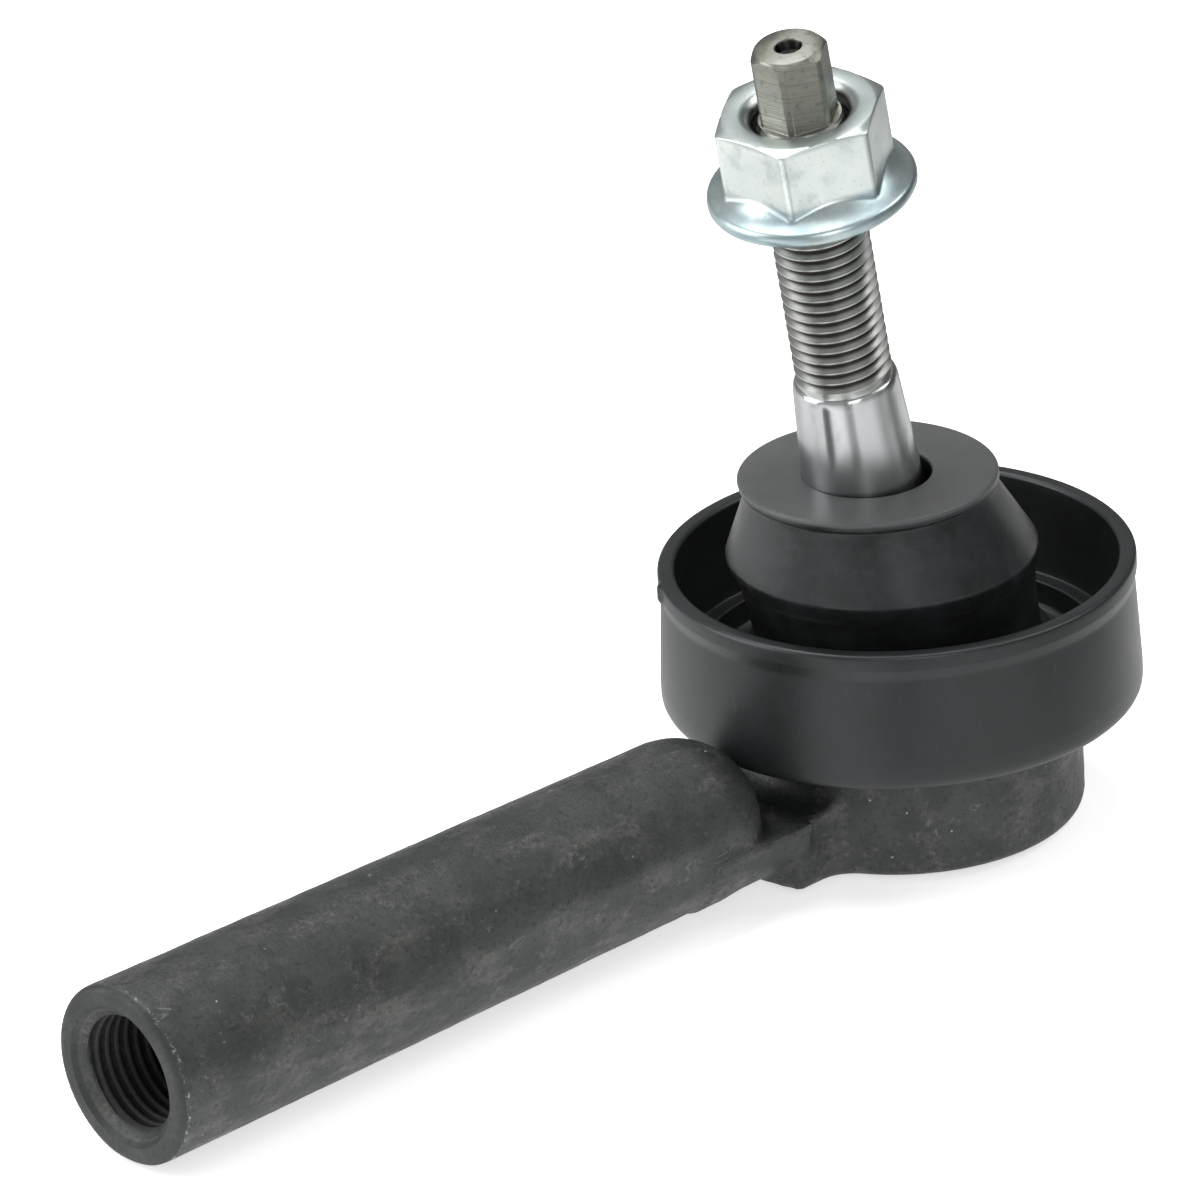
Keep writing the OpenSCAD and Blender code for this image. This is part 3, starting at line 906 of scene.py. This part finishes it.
# %% Cover plate
plate_low, plate_high = box_mm("cover_plate")
DISH_R, DISH_DEPTH = 8.6, 1
PLATE_ROW, PLATE_COLUMNS = 1.5, 128
plate_rim_z = plate_low.z + DISH_DEPTH
plate_outline = rounded([
    (0, plate_low.z, 0), (DISH_R, plate_low.z, 0.9), (DISH_R + DISH_DEPTH, plate_rim_z, 0.9),
    (plate_high.x, plate_rim_z, 0.3), (plate_high.x, plate_high.z, 0.3),
    (DISH_R + 0.4, plate_high.z, 0.9), (DISH_R - 0.6, plate_high.z - DISH_DEPTH, 0.9),
    (0, plate_high.z - DISH_DEPTH, 0),
])
plate_rows = finer(plate_outline, PLATE_ROW)
plate = revolve("cover_plate_pressing", plate_rows, PLATE_COLUMNS, closed=False)
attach(plate, "root")
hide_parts("cover_plate")
print(f"plate {2 * plate_high.x:.1f} mm across")

# %% [markdown]
# ## Writing a finish as sums
# A finish is a tree of shader nodes. Drawing it by hand hides its logic, so here each output
# is wrapped in a small class, and Python's own operators add the Math nodes. Everything else
# comes from one method that names a node's type, its settings and what goes into its sockets.

# %% Wire, Tree and Finish
class Wire:
    """One output socket of a tree of nodes. Operators on it add Math nodes."""

    def __init__(self, tree, socket):
        self.tree = tree
        self.socket = socket

    def maths(self, operation, *values):
        return self.tree.node("Math", {"operation": operation}, dict(enumerate(values)))

    def other(self, name):
        """Another output of the same node."""
        return Wire(self.tree, self.socket.node.outputs[name])

    def __add__(self, other):
        return self.maths("ADD", self, other)

    def __sub__(self, other):
        return self.maths("SUBTRACT", self, other)

    def __rsub__(self, other):
        return self.maths("SUBTRACT", other, self)

    def __mul__(self, other):
        return self.maths("MULTIPLY", self, other)

    __radd__ = __add__
    __rmul__ = __mul__

    def ramp(self, low, high):
        """0 at low, 1 at high, and smooth between them. low may be above high."""
        settings = {"interpolation_type": "SMOOTHSTEP"}
        return self.tree.node("MapRange", settings, {"Value": self, 1: low, 2: high})


class Tree:
    """A tree of nodes, with short ways to add to it."""

    def __init__(self, nodes, place, unit):
        """place is the output of a Texture Coordinate node, and unit is its scale."""
        self.nodes = nodes
        here = self.node("TexCoord", {}, {}).other(place)
        self.place = self.scaled(here, (unit,) * 3)

    def node(self, kind, settings, inputs):
        """Adds a node, sets its settings and then its inputs, and returns its first output."""
        made = self.nodes.nodes.new("ShaderNode" + kind)
        for key, value in settings.items():
            if key == "stops":
                self.set_stops(made.color_ramp, value)
            else:
                setattr(made, key, value)
        for key, value in inputs.items():
            if isinstance(value, Wire):
                self.nodes.links.new(value.socket, made.inputs[key])
            else:
                made.inputs[key].default_value = value
        return Wire(self, next(s for s in made.outputs if s.enabled))

    def set_stops(self, ramp, stops):
        """Gives a colour ramp its (position, grey) stops."""
        while len(ramp.elements) < len(stops):
            ramp.elements.new(1)
        for element, (position, value) in zip(ramp.elements, stops):
            element.position = position
            element.color = (value, value, value, 1)

    def scaled(self, vector, scale):
        """A vector times another, part by part."""
        return self.node("VectorMath", {"operation": "MULTIPLY"}, {0: vector, 1: scale})

    def dot(self, direction):
        """How far a point lies along a direction."""
        settings = {"operation": "DOT_PRODUCT"}
        return self.node("VectorMath", settings, {0: self.place, 1: direction}).other("Value")

    def away_from(self, direction):
        """How far a point lies from the line through the origin in this direction."""
        along = self.dot(direction)
        foot = self.node("VectorMath", {"operation": "SCALE"}, {0: direction, "Scale": along})
        settings = {"operation": "DISTANCE"}
        return self.node("VectorMath", settings, {0: self.place, 1: foot}).other("Value")

    def mottle(self, size, detail=4, rough=0.55, stretch=(1, 1, 1)):
        """Cloudy noise whose lumps are about this many millimetres across."""
        scale = tuple(1 / (size * s) for s in stretch)
        inputs = {"Vector": self.scaled(self.place, scale), "Scale": 1, "Detail": detail}
        return self.node("TexNoise", {}, {**inputs, "Roughness": rough})

    def cells(self, size):
        """Distance to the nearest of scattered points about this many millimetres apart."""
        scale = (1 / size,) * 3
        return self.node("TexVoronoi", {}, {"Vector": self.scaled(self.place, scale), "Scale": 1})

    def scratches(self, size, length, turn, width=0.05):
        """Thin lines in one direction: the places where a stretched noise passes its middle."""
        turned = self.node("VectorRotate", {"rotation_type": "EULER_XYZ"}, {
            "Vector": self.place, "Rotation": tuple(math.radians(t) for t in turn),
        })
        scale = (1 / length, 1 / size, 1 / size)
        noise_in = {"Vector": self.scaled(turned, scale), "Scale": 1, "Detail": 1}
        offset = self.node("TexNoise", {}, noise_in) - 0.5
        return offset.maths("ABSOLUTE", offset).ramp(width * 0.5, 0)

    def mix(self, a, b, factor):
        """Colour a where factor is 0 and colour b where it is 1."""
        return self.node("Mix", {"data_type": "RGBA"}, {0: factor, 6: a, 7: b})


class Finish(Tree):
    """A material with a Principled shader, laid out in millimetres."""

    def __init__(self, name, constants):
        self.material = bpy.data.materials.new(name)
        self.material.use_nodes = True
        super().__init__(self.material.node_tree, "Object", 1 / MM)
        self.shader = self.nodes.nodes["Principled BSDF"]
        for socket, value in constants.items():
            self.shader.inputs[socket].default_value = value

    def feed(self, colour, roughness, height, strength=1):
        """Joins a colour, a roughness and a relief in millimetres to the shader."""
        self.nodes.links.new(colour.socket, self.shader.inputs["Base Color"])
        self.nodes.links.new(roughness.socket, self.shader.inputs["Roughness"])
        bump = self.node("Bump", {}, {"Strength": strength, "Distance": MM, "Height": height})
        self.nodes.links.new(bump.socket, self.shader.inputs["Normal"])


def grey(value, warm=0):
    """A linear grey, warmer for positive warm and cooler for negative."""
    return (value * (1 + warm), value, value * (1 - warm), 1)


def coat(finish, *pieces):
    """Puts a finish on every slot of some pieces."""
    for made in pieces:
        if not made.data.materials:
            made.data.materials.append(None)
        for made_slot in made.material_slots:
            made_slot.material = finish.material


print("finish helpers ready")

# %% [markdown]
# ## Dark forging
# The forging is shot blasted and then blackened in a phosphate bath. The bath leaves a dull,
# grey-green coat of tiny crystals, paler where the steel was rubbed, with dust in its pits and
# bright nicks where it was knocked. Clouds of three sizes give the colour, and the two smaller
# ones give the relief too, so that light and colour agree. The faced end of the arm was cut after
# the forging, so a mask along the arm gives it a tone of its own. The bore was cut too, but its
# colour is painted shade: near black in the thread's grooves and a little lighter on its crests.
# A broken bright band on one side of the end's rounded edge is a painted highlight.

# %% Finish of the forging
def forging_finish():
    f = Finish("phosphated_forging", {"IOR": 1.58})
    out = f.dot((-1, 0, 0))
    from_axis = f.away_from((1, 0, 0))
    clouds = f.mottle(8, detail=7, rough=0.66)
    patches = f.mottle(4.2, detail=6, rough=0.7, stretch=(2, 1, 1))
    grain = f.mottle(0.7, detail=5, rough=0.75)
    tone = f.mix((0.008, 0.013, 0.011, 1), (0.026, 0.031, 0.028, 1), clouds.ramp(0.38, 0.62))
    tone = f.mix(tone, (0.054, 0.052, 0.047, 1), patches.ramp(0.49, 0.66) * 0.65)
    tone = f.mix(tone, grey(0.006), grain.ramp(0.48, 0.36) * 0.9)
    rubbed = grain.ramp(0.54, 0.66) * patches.ramp(0.46, 0.58)
    tone = f.mix(tone, grey(0.12), rubbed * 0.5)
    nicks = f.cells(2.3).ramp(0.075, 0.04) * f.mottle(6, detail=3).ramp(0.52, 0.60)
    lengthways = f.scratches(2.2, 26, (0, 6, 9), 0.02) * f.mottle(3.6).ramp(0.60, 0.66)
    across = f.scratches(2.6, 22, (25, 40, 62), 0.02) * f.mottle(4.1).ramp(0.60, 0.66)
    marks = nicks + 0.3 * lengthways + 0.2 * across
    # Painted highlight: a broken bright band on the rounded outer edge of the arm's end, only on its -y
    # side, where the edge catches the light.
    edge = out.ramp(ARM_END - 1.3, ARM_END - 1.0) * out.ramp(ARM_END - 0.5, ARM_END - 0.8)
    edge = edge * from_axis.ramp(9.8, 10.2)
    edge = edge * f.mottle(0.8, detail=5, rough=0.7).ramp(0.54, 0.59) * f.dot((0, -1, 0)).ramp(-2, 5)
    tone = f.mix(tone, grey(0.36, -0.02), marks + edge * 0.8)
    faced = out.ramp(ARM_END - 0.9, ARM_END - 0.5)
    tone = f.mix(tone, (0.006, 0.008, 0.008, 1), faced * 0.85)
    # Painted shade inside the tapped bore: near black in the thread's grooves, a little lighter on its
    # crests.
    bore_shade = from_axis.ramp(ROD_CREST_R + 0.6, ROD_CREST_R + 0.3) * out.ramp(ARM_END - 1.2, ARM_END - 2)
    bore_shade = bore_shade * out.ramp(ARM_DOME, ARM_DOME + 20)
    crest = from_axis.ramp(ROD_ROOT_R + 0.22, ROD_ROOT_R + 0.04)
    tone = f.mix(tone, f.mix(grey(0.001), grey(0.035, -0.05), crest), bore_shade)
    sheen = 0.14 * patches.ramp(0.45, 0.65) - 0.14 * grain.ramp(0.48, 0.34)
    rough = 0.50 - sheen + 0.4 * bore_shade + 0.1 * faced
    relief = (0.12 * grain + 0.07 * patches) * (1 - faced * 0.85) - 0.02 * marks
    f.feed(tone, rough, relief)
    return f


coat(forging_finish(), housing)
print("forging finished")

# %% [markdown]
# ## Machined and plated steel
# Bare steel, zinc and rolled thread differ in three things: how bright the metal is, how
# rough, and in which way its marks run. The stud has a ground taper, a rolled thread and a turned
# tip on one body, so its finish looks at how far a point lies along the stud and how far from its
# axis. Grinding leaves marks all round the stud, too fine to draw one by one, which stretch every
# highlight. The shader's own anisotropy stands for them.

# %% Finish of the stud
def stud_finish():
    f = Finish("ground_and_rolled_steel", {
        "Metallic": 1, "Anisotropic": 0.85, "Anisotropic Rotation": 0.25,
    })
    along = f.dot(tuple(STUD_AXIS))
    radius = f.away_from(tuple(STUD_AXIS))
    thread = along.ramp(THREAD_START, THREAD_START + 0.4)
    thread = thread * along.ramp(STUD_THREAD_END, STUD_THREAD_END - 0.3)
    tip = along.ramp(STUD_THREAD_END - 0.2, STUD_THREAD_END)
    # Painted shade inside the centre hole of the tip.
    tip_hole_shade = radius.ramp(TIP_HOLE_R + 0.1, TIP_HOLE_R) * along.ramp(tip_end - 0.1, tip_end - 0.5) * tip
    # The thread roots are darkened: painted shade between the crests, with a little oil.
    root = radius.ramp(STUD_R - 0.35, STUD_R - 0.85) * thread
    smears = f.mottle(4, detail=5, stretch=(1, 1, 2.5))
    turned = f.mottle(1, detail=2, rough=0.7, stretch=(30, 30, 0.16))
    tone = f.mix((0.54, 0.555, 0.56, 1), (0.41, 0.42, 0.42, 1), smears.ramp(0.45, 0.7))
    tone = f.mix(tone, (0.47, 0.48, 0.45, 1), thread * 0.8)
    tone = f.mix(tone, grey(0.07, 0.04), root)
    tone = f.mix(tone, (0.25, 0.255, 0.22, 1), tip)
    lines = f.mottle(1, detail=3, rough=0.7, stretch=(30, 30, 0.3))
    tone = f.mix(tone, grey(0.13, 0.02), tip * f.mottle(0.8, detail=5).ramp(0.52, 0.7) * 0.6)
    tone = f.mix(tone, grey(0.15, 0.02), tip * lines.ramp(0.5, 0.65) * 0.5)
    tone = f.mix(tone, grey(0.06), tip_hole_shade)
    rough = 0.20 + 0.10 * smears.ramp(0.4, 0.75) + 0.10 * thread + 0.16 * tip + 0.2 * root
    relief = 0.004 * turned + 0.07 * tip * lines + 0.012 * f.mottle(0.5, detail=4) * tip
    f.feed(tone, rough, relief)
    return f


coat(stud_finish(), stud)
print("stud finished")

# %% Finish of the nut
def zinc_finish():
    f = Finish("bright_zinc_plate", {"Metallic": 1})
    clouds = f.mottle(3.2, detail=5, rough=0.6)
    speckle = f.mottle(0.35, detail=3)
    film = f.mottle(5.5, detail=3).ramp(0.35, 0.65)
    height = f.dot(tuple(STUD_AXIS)) - nut_seat
    flange = height.ramp(FLANGE_EDGE_Z + 2.6, FLANGE_EDGE_Z + 1.6)
    # Painted shade: the top of the nut is darker, which holds down the light it catches from above.
    top = height.ramp(NUT_H - 0.9, NUT_H - 0.2)
    tone = f.mix((0.80, 0.85, 0.82, 1), (0.72, 0.78, 0.76, 1), film)
    tone = f.mix(tone, (0.52, 0.57, 0.55, 1), clouds.ramp(0.50, 0.72) * 0.7)
    tone = f.mix(tone, (0.38, 0.48, 0.50, 1), flange * (0.6 + 0.4 * film))
    tone = f.mix(tone, (0.46, 0.52, 0.51, 1), top * 0.8)
    tone = f.mix(tone, grey(0.22, 0.02), speckle.ramp(0.62, 0.72) * 0.4)
    # Painted shade in the nut's hole and the bottom of its countersink, round the stud.
    bore_shade = f.away_from(tuple(STUD_AXIS)).ramp(NUT_BORE_R + 0.6, NUT_BORE_R + 0.1)
    tone = f.mix(tone, grey(0.05), bore_shade)
    rough = 0.25 + 0.12 * clouds + 0.08 * speckle
    relief = 0.02 * clouds + 0.006 * speckle
    f.feed(tone, rough, relief)
    return f


coat(zinc_finish(), nut)
print("nut finished")

# %% [markdown]
# ## Black plastic and rubber
# Black parts are seen by what they reflect, so their colour matters less than their gloss.
# The cup has a tight semi-gloss with scuffs and fine scratches where parts rubbed in the box.
# The boot is softer: a faint bloom of wax greys it unevenly, specks of mould dust are scattered
# over it, and the top of its disc is paler and duller.
# Both mirror a little coolly, which the shader's specular tint gives.

# %% Finish of the cup
COOL = (0.93, 0.99, 1, 1)


def cup_finish():
    f = Finish("semi_gloss_black", {"IOR": 1.52, "Specular Tint": COOL})
    clouds = f.mottle(12, detail=5, rough=0.6)
    grain = f.mottle(0.45, detail=3)
    scuffs = f.mottle(1.7, detail=6, rough=0.75, stretch=(1, 1, 1.8)).ramp(0.60, 0.72)
    scuffs = scuffs * f.mottle(14, detail=2).ramp(0.46, 0.58)
    scratches = f.mottle(0.5, detail=2, stretch=(1, 1, 9)).ramp(0.71, 0.74) * clouds.ramp(0.4, 0.6)
    tone = f.mix(grey(0.0085, -0.04), grey(0.014, -0.08), clouds.ramp(0.35, 0.7))
    tone = f.mix(tone, grey(0.055, -0.02), scuffs * 0.55 + scratches * 0.3)
    rough = 0.33 + 0.10 * clouds + 0.14 * scuffs
    relief = 0.012 * grain + 0.03 * clouds
    f.feed(tone, rough, relief)
    return f


coat(cup_finish(), cup)
print("cup finished")

# %% Finish of the rubber
def rubber_finish():
    f = Finish("moulded_rubber", {"IOR": 1.5, "Specular Tint": COOL})
    clouds = f.mottle(8, detail=5, rough=0.62)
    grain = f.mottle(0.5, detail=4, rough=0.6)
    bloom = f.mottle(2.4, detail=5, rough=0.65).ramp(0.45, 0.75)
    dust = f.cells(1.9).ramp(0.07, 0.03) * clouds.ramp(0.5, 0.6)
    tone = f.mix(grey(0.010, -0.05), grey(0.020, -0.08), clouds.ramp(0.35, 0.7))
    tone = f.mix(tone, grey(0.030, -0.04), bloom * 0.5)
    # The top of the disc is paler and duller.
    disc = f.dot((0, 0, 1)).ramp(BOOT_TOP_Z - 0.8, BOOT_TOP_Z - 0.3)
    tone = f.mix(tone, grey(0.10, -0.01), disc * (0.55 + 0.45 * clouds))
    tone = f.mix(tone, grey(0.12), dust * 0.5)
    rough = 0.25 + 0.10 * clouds + 0.08 * bloom + 0.14 * disc
    relief = 0.014 * grain + 0.02 * clouds
    f.feed(tone, rough, relief)
    return f


coat(rubber_finish(), boot_upper, boot_lower, frame["nodes"]["cover_seal"])
print("rubber finished")

# %% [markdown]
# ## The pieces inside
# The bearings, the spring washer and the ring in the boot's crown are closed in, and show only
# when the part is taken apart. Their CAD shapes are right as they are, so they stay, and get
# finishes of their own: cream acetal with a faint flow, and spring steel blued by its heat. The
# wire clip shares the spring steel, and the cover plate gets the dull grey of a pressing.

# %% Finishes of the inner pieces, the clip and the plate
def acetal_finish():
    f = Finish("moulded_acetal", {"IOR": 1.48, "Subsurface Weight": 0.05})
    flow = f.mottle(6, detail=4, stretch=(1, 1, 3))
    tone = f.mix((0.70, 0.67, 0.57, 1), (0.58, 0.54, 0.44, 1), flow.ramp(0.35, 0.7))
    f.feed(tone, 0.36 + 0.12 * flow, 0.01 * f.mottle(0.6, detail=3))
    return f


def spring_finish():
    f = Finish("blued_spring_steel", {"Metallic": 1})
    heat = f.mottle(5, detail=4)
    tone = f.mix((0.20, 0.22, 0.27, 1), (0.36, 0.31, 0.25, 1), heat.ramp(0.4, 0.7))
    f.feed(tone, 0.30 + 0.15 * heat, 0.008 * f.mottle(0.4, detail=3))
    return f


def pressing_finish():
    f = Finish("pressed_steel", {"Metallic": 1})
    clouds = f.mottle(4, detail=5)
    drawn = f.mottle(0.7, detail=3, stretch=(6, 1, 1))
    tone = f.mix(grey(0.34, 0.01), grey(0.20, 0.03), clouds.ramp(0.4, 0.7))
    f.feed(tone, 0.34 + 0.16 * clouds, 0.01 * drawn)
    return f


coat(spring_finish(), clip, frame["nodes"]["preload_spring"], frame["nodes"]["boot_insert"])
coat(acetal_finish(), frame["nodes"]["upper_bearing"], frame["nodes"]["lower_bearing"])
coat(pressing_finish(), plate)
print("inner pieces finished")

# %% [markdown]
# ## Floor and light
# Black and plated parts are seen by what they mirror, and a plain white tent would leave them
# flat. A studio puts black cards between its lamps, so here the surround and the floor that
# the part mirrors get brighter and darker by turns as one goes round it. This is a dressed stage,
# not a plain one, and the finishes above were tuned under it. The floor also gives off light, and
# a Light Path node splits it in two. The camera sees it an even white. Any other ray sees the
# turns of bright and dark, a paler patch under the part, and a glow beside the arm.

# %% Bright and dark round the part
SUBJECT = (CAD_BOX[0] + CAD_BOX[1]) / 2
CAMERA_RIGHT = Vector((math.cos(VIEW_AZIMUTH), math.sin(VIEW_AZIMUTH), 0))
CAMERA_BACK = Vector((back.x, back.y, 0)).normalized()
# Degrees round the part with a brightness each. 0 is towards the camera, and right is positive.
LEFT_HALF = [(-180, 0.62), (-130, 0.65), (-105, 1.0), (-88, 0.85), (-78, 0.5), (-62, 0.5)]
LEFT_HALF += [(-48, 1.0), (-14, 0.9)]
RIGHT_HALF = [(-6, 0.3), (3, 0.3), (10, 1.0), (45, 0.95), (66, 0.45), (83, 0.5), (95, 0.2)]
RIGHT_HALF += [(150, 0.3), (180, 0.62)]
ROUND_STOPS = [(0.5 + angle / 360, value) for angle, value in LEFT_HALF + RIGHT_HALF]


def round_the_part(tree):
    """Brightness that depends on the direction from the part, as seen from above."""
    side = tree.dot(tuple(CAMERA_RIGHT))
    near = tree.dot(tuple(CAMERA_BACK))
    turn = side.maths("ARCTAN2", side, near) * (0.5 / math.pi) + 0.5
    return tree.node("ValToRGB", {"stops": ROUND_STOPS}, {"Fac": turn})


print("brightness changes", len(ROUND_STOPS), "times round the part")

# %% Floor
FLOOR_HALF = 6
FLOOR_GLOW = 0.6
PATCH_FADE = (110, 60)
ARM_GLOW_FADE = (75, 35)
floor_mesh = bpy.data.meshes.new("floor")
floor_corners = [(-FLOOR_HALF, -FLOOR_HALF, 0), (FLOOR_HALF, -FLOOR_HALF, 0)]
floor_corners += [(FLOOR_HALF, FLOOR_HALF, 0), (-FLOOR_HALF, FLOOR_HALF, 0)]
floor_mesh.from_pydata(floor_corners, [], [(0, 1, 2, 3)])
floor = bpy.data.objects.new("floor", floor_mesh)
floor.location.z = CAD_BOX[0].z
bpy.context.scene.collection.objects.link(floor)
floor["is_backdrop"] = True
paper = Finish("pale_paper", {"IOR": 1.2, "Emission Strength": FLOOR_GLOW})
fibre = paper.mottle(30, detail=3)
seen = paper.node("LightPath", {}, {}).other("Is Camera Ray")
close_by = paper.away_from((0, 0, 1)).ramp(*PATCH_FADE)
mirrored = paper.mix(grey(0.04), grey(0.86), round_the_part(paper))
mirrored = paper.mix(mirrored, grey(0.80), close_by * 0.6)
white = paper.mix(grey(0.86), grey(0.90), fibre)
paper.feed(paper.mix(mirrored, white, seen), 0.8 + 0.1 * fibre, 0.01 * fibre)
beside_arm = paper.away_from((1, 0, 0)).ramp(*ARM_GLOW_FADE)
glow = paper.mix(paper.mix(grey(0), grey(0.9), beside_arm), grey(1), seen)
paper.nodes.links.new(glow.socket, paper.shader.inputs["Emission Color"])
coat(paper, floor)
print("floor at", round(floor.location.z / MM, 2), "mm")

# %% Soft boxes and surround
WORLD_STRENGTH = 0.5


def soft_box(name, right, towards, up, width, height, power):
    """An area light at an offset in metres from the part, in the camera's own directions."""
    lamp = bpy.data.lights.new(name, "AREA")
    lamp.shape = "RECTANGLE"
    lamp.size = width
    lamp.size_y = height
    lamp.energy = power
    made = bpy.data.objects.new(name, lamp)
    offset = CAMERA_RIGHT * right + CAMERA_BACK * towards + Vector((0, 0, up))
    made.location = SUBJECT + offset
    made.rotation_mode = "QUATERNION"
    made.rotation_quaternion = (-offset).to_track_quat("-Z", "Y")
    made.visible_camera = False
    bpy.context.scene.collection.objects.link(made)


soft_box("left_box", -1.1, 0.1, 0.45, 0.7, 1.0, 9)
soft_box("right_box", 0.9, -0.1, 1.0, 0.5, 0.8, 5)
soft_box("front_box", 0.25, 1.3, 0.6, 0.6, 0.8, 4.5)
soft_box("top_box", -0.2, -0.3, 1.3, 1.0, 1.0, 14)

world = bpy.data.worlds.new("studio")
bpy.context.scene.world = world
world.use_nodes = True
surround = Tree(world.node_tree, "Generated", 1)
sky = world.node_tree.nodes["Background"]
world.node_tree.links.new(round_the_part(surround).socket, sky.inputs["Color"])
sky.inputs["Strength"].default_value = WORLD_STRENGTH
bpy.context.scene.view_settings.view_transform = "Standard"

# %% [markdown]
# ## Sizes
# The last cell prints the box of the CAD model and the box of what was made, which should
# agree.

# %% Sizes and finish
boxes = {"cad": [list(c) for c in CAD_BOX], "visual": [list(c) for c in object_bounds()]}
for name in boxes:
    print(name, [[round(x / MM, 2) for x in c] for c in boxes[name]])
